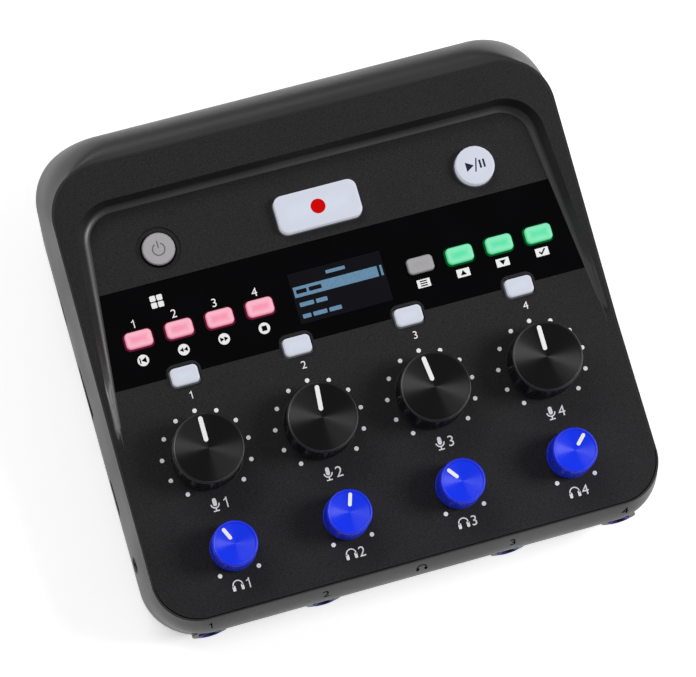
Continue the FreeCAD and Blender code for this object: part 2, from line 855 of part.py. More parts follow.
def finish_bottom_case(case, outer):
    scoops, pads = scoop_cutters()
    additions = [pad.common(outer) for pad in pads]
    cuts = list(scoops)
    for x in jack_columns:
        additions.append(
            lengthwise(jack_boss_radius, x, jack_height, jack_face_y, jack_face_y + jack_boss_depth)
        )
        cuts.append(lengthwise(jack_boss_radius, x, jack_height, -reach, jack_face_y))
        cuts.append(lengthwise(jack_nose_radius + jack_nose_gap, x, jack_height, -reach, jack_block_y))
    for side in (-1, 1):
        for x, y in board_post_places:
            additions.append(upright(board_post_radius, side * x, y, case_bottom, lower_board_bottom))
        for x, y, z in screw_places:
            additions.append(upright(post_radius, side * x, y, case_bottom, z))
            cuts.append(upright(screw_radius + screw_hole_gap, side * x, y, 0, z + 1))
            cuts.append(upright(screw_head_radius + screw_head_gap, side * x, y, 0, screw_seat))
            cuts.append(upright(cover_post_radius + cover_gap, side * x, y, z, body_height))
        for y in (-foot_place[1], foot_place[1]):
            x = side * foot_place[0]
            cuts.append(upright(foot_radius + foot_gap, x, y, 0, case_bottom + foot_recess))
    for y in usb_places:
        cuts.append(sideways(usb_outline(y, port_margin), -reach, port_cut_end))
    slot = card_outline(card_slot_width, card_slot_height, port_margin)
    cuts.append(sideways(slot, -reach, port_cut_end))
    socket = card_outline(card_socket_width, card_socket_height, port_margin)
    cuts.append(sideways(socket, card_face_x - port_margin, port_cut_end))
    cuts.append(
        rod(
            jack_nose_radius + jack_nose_gap,
            Vector(-reach, phone_jack_y, jack_height),
            Vector(port_cut_end, phone_jack_y, jack_height),
        )
    )
    slot_half = (slider_length + slider_travel) / 2 + slider_gap
    slot_rise = slider_width / 2 + slider_gap
    for y in slider_places:
        low = slider_height - slot_rise
        high = slider_height + slot_rise
        cuts.append(block(switch_base_face, reach, y - slot_half, y + slot_half, low, high))
    opening_half = door_half + door_gap
    opening_front = door_front - door_gap
    cuts.append(block(-opening_half, opening_half, opening_front, door_rear + door_gap, 0, floor_top))
    pin_end = door_half + door_pin_length + door_gap
    pin_hole = rod(
        door_pin_radius + door_pin_gap,
        Vector(-pin_end, door_pin_y, door_pin_z),
        Vector(pin_end, door_pin_y, door_pin_z),
    )
    cuts.append(pin_hole)
    return join(case, *additions).cut(cuts)


# Boards and what they carry
def make_lower_board():
    middle = (lower_board_front + lower_board_rear) / 2
    length = lower_board_rear - lower_board_front
    outline = rounded_rectangle(0, middle, 2 * lower_board_half_width, length, lower_board_corner)
    board = slab(outline, lower_board_bottom, lower_board_top)
    cut_half = box_half + board_gap
    cuts = [block(-cut_half, cut_half, box_front - board_gap, reach, 0, body_height)]
    for side in (-1, 1):
        cuts += [upright(post_radius + board_gap, side * x, y, 0, body_height) for x, y, z in screw_places]
    return board.cut(cuts)


def make_main_board():
    length = board_rear_v - board_front_v
    middle = (board_rear_v + board_front_v) / 2
    outline = rounded_rectangle(0, middle, 2 * board_half_width, length, board_corner)
    return onto_panel(slab(outline, -board_drop - board_thickness, -board_drop))


def make_jack(face):
    """A 3.5 mm jack facing the front at x = 0, with its mouth at a given y."""
    front_y, block_y = face
    half = jack_block_width / 2
    body_top = lower_board_top + jack_block_height
    body = block(-half, half, block_y, block_y + jack_block_length, lower_board_top, body_top)
    nose = lengthwise(jack_nose_radius, 0, jack_height, front_y, block_y)
    bore = lengthwise(jack_bore_radius, 0, jack_height, front_y, front_y + jack_bore_depth)
    return join(body, nose).cut(bore)


def make_headphone_jacks():
    jack = make_jack((jack_face_y - jack_nose_proud, jack_block_y))
    pieces = []
    for x in jack_columns:
        piece = jack.copy()
        piece.translate(Vector(x, 0, 0))
        pieces.append(piece)
    return pieces


def make_phone_jack():
    jack = make_jack((-half_width + jack_nose_proud, -half_width + wall + scoop_pad))
    jack.rotate(Vector(0, 0, 0), Vector(0, 0, 1), -90)
    jack.translate(Vector(0, phone_jack_y, 0))
    return jack


def make_jack_rings():
    rings = []
    for x in jack_columns:
        ring = lengthwise(ring_radius, x, jack_height, jack_face_y - ring_proud, jack_face_y)
        rings.append(
            ring.cut(lengthwise(jack_nose_radius + ring_gap, x, jack_height, -half_depth - 1, jack_face_y))
        )
    return rings


def make_xlr(x):
    """A microphone socket: a barrel with a wider mouth for the plug, and an insert with three holes in it."""
    groove_end = xlr_face_y - xlr_groove_depth
    low = xlr_height - xlr_flange / 2
    high = xlr_height + xlr_flange / 2
    half = xlr_flange / 2
    flange = block(x - half, x + half, xlr_pad_back - xlr_flange_thickness, xlr_pad_back, low, high)
    barrel = join(lengthwise(xlr_barrel_radius, x, xlr_height, xlr_back_y, xlr_face_y), flange)
    mouth = lengthwise(xlr_groove_outer, x, xlr_height, groove_end, reach)
    seat = lengthwise(xlr_groove_inner + socket_clearance, x, xlr_height, xlr_back_y - 1, reach)
    insert = lengthwise(xlr_groove_inner, x, xlr_height, xlr_back_y, xlr_face_y - xlr_insert_inset)
    holes = [
        lengthwise(xlr_hole_radius, x + dx, xlr_height + dz, xlr_back_y - 1, reach)
        for dx, dz in xlr_hole_places
    ]
    return barrel.cut([mouth, seat]), insert.cut(holes)


def make_xlr_contacts():
    contacts = []
    front = xlr_face_y - xlr_insert_inset - xlr_contact_inset
    for x in knob_columns:
        for dx, dz in xlr_hole_places:
            z = xlr_height + dz
            pin = lengthwise(xlr_hole_radius - xlr_contact_gap, x + dx, z, xlr_back_y, front)
            bore = lengthwise(xlr_contact_bore, x + dx, z, front - xlr_contact_bore_depth, front)
            contacts.append(pin.cut(bore))
    return contacts


def make_usb_ports():
    ports = []
    face = -half_width + usb_inset
    middle = lower_board_top + usb_height / 2
    half = usb_tongue_width / 2
    thick = usb_tongue_height / 2
    for y in usb_places:
        shell = sideways(usb_outline(y, 0), face, face + usb_length)
        cup = sideways(usb_outline(y, -usb_shell), face, face + usb_cup_depth)
        tongue = block(
            face + usb_tongue_inset, face + usb_length, y - half, y + half, middle - thick, middle + thick
        )
        ports.append(join(shell.cut(cup), tongue))
    return ports


def make_card_socket():
    face = card_face_x
    half = card_socket_width / 2
    high = lower_board_top + card_socket_height
    body = block(face, face + card_socket_length, card_y - half, card_y + half, lower_board_top, high)
    middle = (lower_board_top + high) / 2
    slot_half = card_slot_width / 2
    low = middle - card_slot_height / 2
    slot = block(
        face, face + card_slot_depth, card_y - slot_half, card_y + slot_half, low, low + card_slot_height
    )
    return body.cut(slot)


def make_switch_base(y):
    half = switch_base_length / 2
    base = block(switch_base_back, switch_base_face, y - half, y + half, lower_board_top, switch_base_top)
    slot_half = (slider_stem_length + slider_travel) / 2 + slider_gap
    rise = slider_stem_width / 2 + slider_gap
    back = switch_base_face - slider_stem_depth - slider_gap
    slot = block(back, reach, y - slot_half, y + slot_half, slider_height - rise, slider_height + rise)
    return base.cut(slot)


def make_slider(y):
    """The nub that a finger moves, a plate that covers its slot from inside, and a stem into the switch."""
    root = switch_base_face + slider_gap

    def bar(x0, x1, length, width):
        low = slider_height - width / 2
        return block(x0, x1, y - length / 2, y + length / 2, low, low + width)

    nub = bar(root, half_width + slider_proud, slider_length, slider_width)
    plate = bar(root, root + slider_root_thickness, slider_root_length, slider_root_width)
    stem = bar(switch_base_face - slider_stem_depth, root, slider_stem_length, slider_stem_width)
    return join(nub, plate, stem)


# Battery box, door and contacts
def make_battery_box():
    body = block(-box_half, box_half, box_front, box_rear, floor_top, bay_top + bay_roof)
    return body.cut(block(-bay_half_length, bay_half_length, bay_front, bay_rear, 0, bay_top))


def make_battery_door():
    """A flat door with a round rear edge and two pins in line with it."""
    def bar(radius, end):
        return rod(radius, Vector(-end, door_pin_y, door_pin_z), Vector(end, door_pin_y, door_pin_z))

    round_edge = bar(door_thickness / 2, door_half)
    plate = block(-door_half, door_half, door_front, door_pin_y, case_bottom, door_top)
    pins = bar(door_pin_radius, door_half + door_pin_length)
    half = door_grip_width / 2
    grip_front = door_front + door_grip_length
    grip = block(
        -half, half, grip_front, grip_front + door_grip_length, case_bottom, case_bottom + door_grip_depth
    )
    return join(plate, round_edge, pins).cut(grip)


def make_battery_contacts():
    """A plate at each end of each cell. One of the two carries a spring, at alternating ends."""
    contacts = []
    pitch = (bay_rear - bay_front) / 4
    middle_z = (door_top + bay_top) / 2
    half = contact_width / 2
    for cell in range(4):
        y = bay_front + (cell + 0.5) * pitch
        for side in (-1, 1):
            wall_x = side * bay_half_length
            plate_x = wall_x - side * contact_thickness
            low = middle_z - contact_height / 2
            x0, x1 = sorted((wall_x, plate_x))
            contact = block(x0, x1, y - half, y + half, low, low + contact_height)
            if (side > 0) == (cell % 2 == 0):
                spring_end = plate_x - side * spring_length
                spring = rod(spring_radius, Vector(plate_x, y, middle_z), Vector(spring_end, y, middle_z))
                contact = join(contact, spring)
            contacts.append(contact)
    return contacts


def make_screw(x, y, post_top):
    head = upright(screw_head_radius, x, y, screw_seat - screw_head_height, screw_seat)
    return join(head, upright(screw_radius, x, y, screw_seat, post_top + screw_bite))


def make_feet():
    x, y = foot_place
    places = [(side * x, end * y) for side in (-1, 1) for end in (-1, 1)]
    return [upright(foot_radius, fx, fy, 0, case_bottom + foot_recess) for fx, fy in places]


os.makedirs("parts", exist_ok=True)

case, rear, outer = make_housing()
save("bottom_case", finish_bottom_case(case, outer))
save("rear_cover", finish_rear_cover(rear, outer))
save("top_cover", make_top_cover())
save("control_strip", make_control_strip())
save("display_module", make_display())
save("main_board", make_main_board())
save("lower_board", make_lower_board())
save(
    "input_board",
    block(
        -input_board_half_width,
        input_board_half_width,
        xlr_back_y - input_board_thickness,
        xlr_back_y,
        input_board_low,
        input_board_high,
    ),
)
save("mic_pots", *[make_pot(u, 0, mic_pot_size) for u in knob_columns])
save("phones_pots", *[make_pot(u, phones_row_v, phones_pot_size) for u in knob_columns])
save("button_switches", *[make_tact_switch(u, v) for name, outline, u, v, rise in buttons])
for number, u in enumerate(knob_columns, 1):
    save(f"mic_shaft_{number}", make_shaft(u, 0, mic_knob_height))
    save(f"mic_knob_{number}", make_knob(u, 0, mic_knob_radius, mic_knob_top_radius, mic_knob_height))
    save(f"phones_shaft_{number}", make_shaft(u, phones_row_v, phones_knob_height))
    save(
        f"phones_knob_{number}",
        make_knob(u, phones_row_v, phones_knob_radius, phones_knob_top_radius, phones_knob_height),
    )
    save(f"xlr_jack_{number}", *make_xlr(u))
for name, outline, u, v, rise in buttons:
    save(name, make_button(outline, u, v, rise))
save("xlr_contacts", *make_xlr_contacts())
save("headphone_jacks", *make_headphone_jacks())
save("jack_rings", *make_jack_rings())
save("phone_jack", make_phone_jack())
save("usb_ports", *make_usb_ports())
save("card_socket", make_card_socket())
save("switch_bases", *[make_switch_base(y) for y in slider_places])
for number, y in enumerate(slider_places, 1):
    save(f"side_switch_{number}", make_slider(y))
save("battery_box", make_battery_box())
save("battery_door", make_battery_door())
save("battery_contacts", *make_battery_contacts())
save("case_screws", *[make_screw(side * x, y, z) for x, y, z in screw_places for side in (-1, 1)])
save("rubber_feet", *make_feet())
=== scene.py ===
# %% [markdown]
# # A podcast recorder
#
# The real object is a desk recorder for four voices: a rolled grey tub, a black sloping cover with a
# raised rim, eight turned level knobs, a gloss strip of lit buttons round a small display, and sockets
# in its edges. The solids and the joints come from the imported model. This notebook dresses them: it
# smooths the mouldings, turns the knobs, prints the marks and gives every surface a real finish.

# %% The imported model
import math

import bmesh
import bpy
from mathutils import Matrix, Vector
from mathutils.bvhtree import BVHTree


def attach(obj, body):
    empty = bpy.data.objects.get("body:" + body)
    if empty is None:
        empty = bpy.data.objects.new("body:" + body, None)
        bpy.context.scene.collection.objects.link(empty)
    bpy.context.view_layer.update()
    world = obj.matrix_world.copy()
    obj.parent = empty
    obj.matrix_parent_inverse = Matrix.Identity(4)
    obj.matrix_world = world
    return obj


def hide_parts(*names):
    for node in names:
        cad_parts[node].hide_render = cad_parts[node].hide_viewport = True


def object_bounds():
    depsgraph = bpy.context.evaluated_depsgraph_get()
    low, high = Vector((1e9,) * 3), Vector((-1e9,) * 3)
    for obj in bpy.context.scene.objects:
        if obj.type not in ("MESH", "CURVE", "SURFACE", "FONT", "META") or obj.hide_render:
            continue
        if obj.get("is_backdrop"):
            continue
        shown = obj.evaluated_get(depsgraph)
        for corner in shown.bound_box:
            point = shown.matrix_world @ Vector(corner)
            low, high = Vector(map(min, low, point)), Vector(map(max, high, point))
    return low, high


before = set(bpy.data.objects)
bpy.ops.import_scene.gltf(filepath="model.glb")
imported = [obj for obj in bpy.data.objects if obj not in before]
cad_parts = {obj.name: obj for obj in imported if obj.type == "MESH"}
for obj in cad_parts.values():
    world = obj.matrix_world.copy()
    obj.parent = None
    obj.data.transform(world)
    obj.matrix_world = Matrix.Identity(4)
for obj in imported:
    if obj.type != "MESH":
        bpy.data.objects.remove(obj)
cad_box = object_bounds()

print("box in mm:", [round(1000 * side, 1) for side in cad_box[1] - cad_box[0]])

# %% [markdown]
# ## Units and colours
# All sizes below are in millimetres, as on a drawing, and are scaled to Blender's metres where a mesh
# is made. Colours are written as sRGB hex, which is how a screen shows them. The renderer adds light
# in linear values, so one function converts them.

# %% Units and colours
mm = 0.001


def to_linear(code, alpha=1.0):
    """The linear colour of an sRGB hex code such as 262427."""
    channels = [int(code[i:i + 2], 16) / 255 for i in (0, 2, 4)]
    return [c / 12.92 if c <= 0.04045 else ((c + 0.055) / 1.055) ** 2.4 for c in channels] + [alpha]


print("mid grey 808080 is", [round(c, 3) for c in to_linear("808080")])

# %% [markdown]
# ## The panel's own frame
# Nearly everything sits on a flat panel that slopes five degrees. Its own axes are u to the right,
# v to the rear from the row of large knobs, and w up out of the panel. Pieces are made flat in these
# axes, and one matrix puts them in place.

# %% The panel's frame
panel_tilt = math.radians(5.0)
panel = Matrix.Translation(Vector((0, -23.49, 33.2463)) * mm) @ Matrix.Rotation(panel_tilt, 4, "X")


def on_panel(u, v, w=0.0, turn=0.0):
    """The place of something at (u, v, w) on the panel, turned anticlockwise by turn degrees."""
    return panel @ Matrix.Translation(Vector((u, v, w)) * mm) @ Matrix.Rotation(math.radians(turn), 4, "Z")


knob_columns = (-45.0, -15.0, 15.0, 45.0)
print("knob 1 stands at", [round(1000 * c, 2) for c in on_panel(-45, 0).translation])

# %% [markdown]
# ## Camera
# The photograph looks down on the recorder from high in front, turned a little, with a long lens.
# The camera's place and its three directions were fitted to the dots and buttons of the photograph,
# in the panel's axes, so the panel's matrix carries them into the scene.

# %% Camera
lens = bpy.data.cameras.new("camera")
lens.lens = 167.43
lens.sensor_width = 36.0
lens.clip_start = 0.01
camera = bpy.data.objects.new("camera", lens)
bpy.context.scene.collection.objects.link(camera)
right = Vector((0.957306, -0.274797, 0.089731))
down = Vector((-0.255686, -0.949726, -0.180679))
ahead = Vector((0.134870, 0.150022, -0.979440))
turned_to = Matrix((right, -down, -ahead)).transposed().to_4x4()
camera.matrix_world = panel @ Matrix.Translation(Vector((-114.29, -105.82, 816.97)) * mm) @ turned_to
bpy.context.scene.camera = camera
print("camera at", [round(c, 3) for c in camera.matrix_world.translation])

# %% [markdown]
# ## Nodes in one line
# A material is a small graph. This one function adds a node: its own settings by name, and its
# sockets by name or number, each given a value or another node's output.


# %% Adding a node
def add(tree, kind, sockets=None, **settings):
    """Adds a node of that kind. A socket's value may be another node's output, which links it."""
    node = tree.nodes.new(kind)
    for name, value in settings.items():
        setattr(node, name, value)
    for name, value in (sockets or {}).items():
        if isinstance(value, bpy.types.NodeSocket):
            tree.links.new(value, node.inputs[name])
        else:
            node.inputs[name].default_value = value
    return node


def new_finish(name, sockets):
    """A material with one shader whose own sockets are set, and the object's coordinates."""
    finish = bpy.data.materials.new(name)
    finish.use_nodes = True
    tree = finish.node_tree
    tree.nodes.clear()
    shader = add(tree, "ShaderNodeBsdfPrincipled", sockets)
    add(tree, "ShaderNodeOutputMaterial", {"Surface": shader.outputs["BSDF"]})
    place = add(tree, "ShaderNodeTexCoord").outputs["Object"]
    return finish, tree, shader, place


# %% [markdown]
# ## Light, floor and backdrop
# The photograph is a cut-out on white under soft studio light: a soft box behind on the left, a
# stronger one in front on the right, and white all round. The lamps and the world together bring a level
# surface to about the colour that is written for it. The camera sees the world as plain white, and
# the paper floor glows a little for the camera and in reflections, so it is white but keeps a shadow.

# %% World
world = bpy.data.worlds.new("studio")
bpy.context.scene.world = world
world.use_nodes = True
sky = world.node_tree
sky.nodes.clear()
seen = add(sky, "ShaderNodeLightPath")
studio_grey = add(sky, "ShaderNodeBackground", {"Color": to_linear("ffffff"), "Strength": 0.24})
plain_white = add(sky, "ShaderNodeBackground", {"Color": to_linear("ffffff"), "Strength": 1.0})
straight = add(sky, "ShaderNodeMath", {
    0: seen.outputs["Is Camera Ray"], 1: seen.outputs["Is Transmission Ray"]}, operation="MAXIMUM")
sky_mix = add(sky, "ShaderNodeMixShader", {
    0: straight.outputs[0], 1: studio_grey.outputs[0], 2: plain_white.outputs[0]})
add(sky, "ShaderNodeOutputWorld", {"Surface": sky_mix.outputs[0]})


# %% Lamps
def soft_box(name, place, aim, size, level):
    """An area lamp that adds level to what a surface facing it shows, 1 being the written colour."""
    lamp = bpy.data.lights.new(name, "AREA")
    lamp.shape = "RECTANGLE"
    lamp.size, lamp.size_y = size
    away = Vector(aim) - Vector(place)
    lamp.energy = level * math.pi ** 2 * away.length_squared
    thing = bpy.data.objects.new(name, lamp)
    thing.matrix_world = Matrix.Translation(place) @ away.to_track_quat("-Z", "Y").to_matrix().to_4x4()
    bpy.context.scene.collection.objects.link(thing)
    print(name, "power", round(lamp.energy, 2))


soft_box("rear_left_box", (-0.38, 0.74, 0.95), (0, 0, 0.03), (1.0, 0.45), 0.43)
soft_box("right_box", (1.05, -0.25, 0.95), (0, 0, 0.03), (0.5, 0.7), 0.62)

# %% Floor
paper, tree, shader, place = new_finish("studio_paper", {"Roughness": 0.9, "Specular IOR Level": 0.2})
fibres = add(tree, "ShaderNodeTexNoise", {"Vector": place, "Scale": 40.0, "Detail": 3.0})
shade = add(tree, "ShaderNodeMix", {
    0: fibres.outputs[0], 6: to_linear("f7f7f8"), 7: to_linear("fbfbfb")}, data_type="RGBA")
tree.links.new(shade.outputs[2], shader.inputs["Base Color"])
seen = add(tree, "ShaderNodeLightPath").outputs
straight = add(tree, "ShaderNodeMath", {
    0: seen["Is Camera Ray"], 1: seen["Is Transmission Ray"]}, operation="MAXIMUM")
mirrored = add(tree, "ShaderNodeMath", {
    0: straight.outputs[0], 1: seen["Is Glossy Ray"]}, operation="MAXIMUM")
glow = add(tree, "ShaderNodeMath", {0: mirrored.outputs[0], 1: 0.5}, operation="MULTIPLY")
shader.inputs["Emission Color"].default_value = to_linear("ffffff")
tree.links.new(glow.outputs[0], shader.inputs["Emission Strength"])
sheet = bmesh.new()
bmesh.ops.create_grid(sheet, x_segments=1, y_segments=1, size=3.0)
floor_mesh = bpy.data.meshes.new("floor")
sheet.to_mesh(floor_mesh)
floor = bpy.data.objects.new("floor", floor_mesh)
floor_mesh.materials.append(paper)
bpy.context.scene.collection.objects.link(floor)
floor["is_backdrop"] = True

# %% [markdown]
# ## Finishes: moulded plastics
# The cover is ABS moulded in a spark-eroded steel mould. The sparks leave a fine grain of pits, which
# gives the eye a dark, even, slightly glittering surface. The tub has a smoother satin grain. Both are
# noise in the object's coordinates: it moves the colour by a few levels, the roughness a little and
# the surface by some hundredths of a millimetre.


# %% Moulded plastic
def moulded(name, pale, deep, grain, relief, rough, spread=0.05, **sockets):
    """A moulded plastic: two shades of a colour over a grain of that size, raised by relief, in mm."""
    finish, tree, shader, place = new_finish(name, sockets)
    sparks = add(tree, "ShaderNodeTexNoise", {
        "Vector": place, "Scale": 1 / (grain * mm), "Detail": 2.0, "Roughness": 0.6})
    flow = add(tree, "ShaderNodeTexNoise", {"Vector": place, "Scale": 1 / (22 * mm), "Detail": 1.0})
    level = add(tree, "ShaderNodeMapRange", {
        "Value": sparks.outputs[0], "From Min": 0.3, "From Max": 0.7})
    shade = add(tree, "ShaderNodeMix", {
        0: level.outputs[0], 6: to_linear(deep), 7: to_linear(pale)}, data_type="RGBA")
    matt = add(tree, "ShaderNodeMapRange", {
        "Value": flow.outputs[0], "From Min": 0.3, "From Max": 0.7,
        "To Min": rough - spread, "To Max": rough + spread})
    pits = add(tree, "ShaderNodeBump", {
        "Height": sparks.outputs[0], "Strength": 1.0, "Distance": relief * mm})
    tree.links.new(shade.outputs[2], shader.inputs["Base Color"])
    tree.links.new(matt.outputs[0], shader.inputs["Roughness"])
    tree.links.new(pits.outputs[0], shader.inputs["Normal"])
    return finish


# The real spark grain is about 0.1 mm. It is drawn at 0.33 mm, about a pixel, so that it shows.
# Its pits swallow most of the mirror light, so little is left of the plastic's own.
spark_black_abs = moulded("spark_black_abs", "242225", "030203", 0.33, 0.05, 0.62, **{
    "Specular IOR Level": 0.3})
# The same plastic where the mould was polished: the coved wall round the recess. With no pits to
# swallow it, all the mirror light comes back as a soft shine.
smooth_black_abs = moulded("smooth_black_abs", "1e1c1e", "151415", 0.6, 0.004, 0.47, **{
    "Specular IOR Level": 0.95})
# The tub: polycarbonate blend with a fine satin grain, smoother, so its rolled edges catch the light.
satin_charcoal_pc = moulded("satin_charcoal_pc", "2a292a", "222122", 0.30, 0.008, 0.45)
plain_black_nylon = moulded("plain_black_nylon", "1b1b1c", "131314", 0.5, 0.02, 0.55)
moulded_black_pbt = moulded("moulded_black_pbt", "161617", "0e0e0f", 0.4, 0.012, 0.38)
# The jack rings: blue polycarbonate with less shine than the knobs. Their deep blue is painted shade:
# the knobs' blue made darker, as the rings face down and away from the lamps.
blue_pc_painted_shade = moulded("blue_polycarbonate_painted_shade", "0a1fa0", "061684", 0.5, 0.006, 0.5, **{
    "Specular IOR Level": 0.25})
slider_black_pom = moulded("slider_black_pom", "1e1e1f", "151516", 0.35, 0.012, 0.45)
# Rubber feet: dull and faintly dusty.
foot_rubber = moulded("moulded_rubber", "242323", "171717", 0.6, 0.03, 0.82)
print("moulded finishes made")

# %% [markdown]
# ## Finishes: the gloss strip and the display
# The strip is clear acrylic (PMMA), printed black on its back. The eye sees deep black under a flat
# polished skin, with only the faintest ripple. The display is a small blue dot matrix behind a
# window of the same acrylic.

# %% Acrylic
acrylic_black, tree, shader, place = new_finish(
    "back_printed_pmma", {"IOR": 1.49, "Specular IOR Level": 0.1})
ripple = add(tree, "ShaderNodeTexNoise", {"Vector": place, "Scale": 1 / (9 * mm), "Detail": 0.0})
ink_black = add(tree, "ShaderNodeMix", {
    0: ripple.outputs[0], 6: to_linear("020203"), 7: to_linear("050507")}, data_type="RGBA")
wiped = add(tree, "ShaderNodeMapRange", {"Value": ripple.outputs[0], "To Min": 0.05, "To Max": 0.12})
wave = add(tree, "ShaderNodeBump", {"Height": ripple.outputs[0], "Strength": 0.3, "Distance": 0.02 * mm})
tree.links.new(ink_black.outputs[2], shader.inputs["Base Color"])
tree.links.new(wiped.outputs[0], shader.inputs["Roughness"])
tree.links.new(wave.outputs[0], shader.inputs["Normal"])

# %% Display glass
display_dark, tree, shader, place = new_finish(
    "display_window_pmma", {"IOR": 1.49, "Specular IOR Level": 0.3, "Roughness": 0.12})
haze = add(tree, "ShaderNodeTexNoise", {"Vector": place, "Scale": 1 / (12 * mm), "Detail": 1.0})
backlit = add(tree, "ShaderNodeMix", {
    0: haze.outputs[0], 6: to_linear("03030b"), 7: to_linear("080813")}, data_type="RGBA")
tree.links.new(backlit.outputs[2], shader.inputs["Base Color"])

# %% [markdown]
# ## Finishes: lit buttons
# The buttons are translucent silicone or polycarbonate caps over a light. The top of a cap is pale,
# it deepens over the lamp, and the thin light that leaks round its foot is strongly coloured. The
# caps carry an attribute, edge, that is 0 in the middle of the top, 1 at its rim and 2 at its foot,
# so every cap shades itself in its own place. Half of what is seen is the lamp's light. Near the
# panel and below it a cap is painted nearly black, painted shade of the gap round it. The unlit
# grey cap's foot colour is darker, painted shade on its sides.


# %% Lit caps
def lit_cap(name, middle, top, foot, glow, rough=0.35):
    """A translucent cap: its colours over the lamp, on the top and at the foot, and its share of light. On
    the unlit grey cap the foot colour is painted shade.
    """
    finish, tree, shader, place = new_finish(name, {
        "Roughness": rough, "IOR": 1.45, "Emission Strength": glow, "Specular IOR Level": 0.35})
    edge = add(tree, "ShaderNodeAttribute", attribute_name="edge")
    cloud = add(tree, "ShaderNodeTexNoise", {"Vector": place, "Scale": 1 / (2.5 * mm), "Detail": 1.0})
    swirl = add(tree, "ShaderNodeMath", {
        0: cloud.outputs[0], 1: 0.5, 2: edge.outputs["Fac"]}, operation="MULTIPLY_ADD")
    over_lamp = add(tree, "ShaderNodeMapRange", {
        "Value": swirl.outputs[0], "From Min": 0.25, "From Max": 0.95}, interpolation_type="SMOOTHSTEP")
    to_foot = add(tree, "ShaderNodeMapRange", {
        "Value": edge.outputs["Fac"], "From Min": 0.95, "From Max": 1.5})
    face = add(tree, "ShaderNodeMix", {
        0: over_lamp.outputs[0], 6: to_linear(middle), 7: to_linear(top)}, data_type="RGBA")
    whole = add(tree, "ShaderNodeMix", {
        0: to_foot.outputs[0], 6: face.outputs[2], 7: to_linear(foot)}, data_type="RGBA")
    # Painted shade: near the panel and below it the cap is mixed towards black, and its glow with it, for the
    # shade in the gap round it.
    gap_shade = add(tree, "ShaderNodeMapRange", {
        "Value": edge.outputs["Fac"], "From Min": 1.8, "From Max": 2.0, "To Max": 0.8})
    shown = add(tree, "ShaderNodeMix", {
        0: gap_shade.outputs[0], 6: whole.outputs[2], 7: (0, 0, 0, 1)}, data_type="RGBA")
    own = add(tree, "ShaderNodeMix", {
        0: glow, 6: shown.outputs[2], 7: (0, 0, 0, 1)}, data_type="RGBA")
    tree.links.new(own.outputs[2], shader.inputs["Base Color"])
    tree.links.new(shown.outputs[2], shader.inputs["Emission Color"])
    return finish


pink_silicone = lit_cap("lit_pink_silicone", "ff9cb9", "ffbccd", "f04a86", 0.5)
green_silicone = lit_cap("lit_green_silicone", "62eaad", "8cf0c2", "12e070", 0.5)
white_silicone = lit_cap("lit_white_silicone", "dbe1f0", "d8dcea", "eef1fb", 0.4)
# The grey cap's darker foot colour is painted shade on its sides in the gap.
grey_silicone = lit_cap("unlit_grey_silicone", "aaa8aa", "aeacae", "4c4b4c", 0.05)
print("lit caps made")

# %% [markdown]
# ## Finishes: metals, board and printing ink
# Inside are stamped and nickel-plated steel, brass contacts, aluminium shafts and circuit boards with
# green solder mask over copper tracks. Outside, the marks are screen-printed with white ink.


# %% Metals
def metal(name, pale, deep, rough, grain, stretch):
    """A metal whose drawn or brushed lines are grain mm wide and stretch times as long, along X."""
    finish, tree, shader, place = new_finish(name, {"Metallic": 1.0})
    along = add(tree, "ShaderNodeMapping", {"Vector": place, "Scale": (1 / stretch, 1, 1)})
    lines = add(tree, "ShaderNodeTexNoise", {
        "Vector": along.outputs[0], "Scale": 1 / (grain * mm), "Detail": 3.0})
    shade = add(tree, "ShaderNodeMix", {
        0: lines.outputs[0], 6: to_linear(deep), 7: to_linear(pale)}, data_type="RGBA")
    matt = add(tree, "ShaderNodeMapRange", {
        "Value": lines.outputs[0], "To Min": rough - 0.08, "To Max": rough + 0.08})
    scored = add(tree, "ShaderNodeBump", {
        "Height": lines.outputs[0], "Strength": 0.3, "Distance": 0.01 * mm})
    tree.links.new(shade.outputs[2], shader.inputs["Base Color"])
    tree.links.new(matt.outputs[0], shader.inputs["Roughness"])
    tree.links.new(scored.outputs[0], shader.inputs["Normal"])
    return finish


stamped_steel = metal("stamped_steel", "c9c9c8", "9c9c9d", 0.36, 0.3, 8)
nickel_steel = metal("nickel_plated_steel", "dedcd6", "bab8b3", 0.24, 0.4, 5)
turned_brass = metal("plated_brass", "e3c57c", "b8944a", 0.28, 0.3, 3)
dark_steel = metal("blackened_steel", "5c5c5f", "3b3b3e", 0.40, 0.3, 3)
drawn_aluminium = metal("drawn_aluminium", "d5d6d8", "a9aaad", 0.33, 0.3, 10)

# %% Circuit board
# FR4 board: the eye sees glossy green, lighter where copper tracks run under it. The tracks are drawn
# as 1.2 mm cells.
solder_mask, tree, shader, place = new_finish("solder_masked_fr4", {"Roughness": 0.32, "IOR": 1.5})
tracks = add(tree, "ShaderNodeTexVoronoi", {
    "Vector": place, "Scale": 1 / (4 * mm)}, feature="DISTANCE_TO_EDGE", distance="MANHATTAN")
line = add(tree, "ShaderNodeMapRange", {
    "Value": tracks.outputs["Distance"], "From Min": 0.06, "From Max": 0.10})
mask = add(tree, "ShaderNodeMix", {
    0: line.outputs[0], 6: to_linear("2f7a45"), 7: to_linear("124d28")}, data_type="RGBA")
raised = add(tree, "ShaderNodeBump", {
    "Height": line.outputs[0], "Strength": 0.4, "Distance": 0.03 * mm}, invert=True)
tree.links.new(mask.outputs[2], shader.inputs["Base Color"])
tree.links.new(raised.outputs[0], shader.inputs["Normal"])


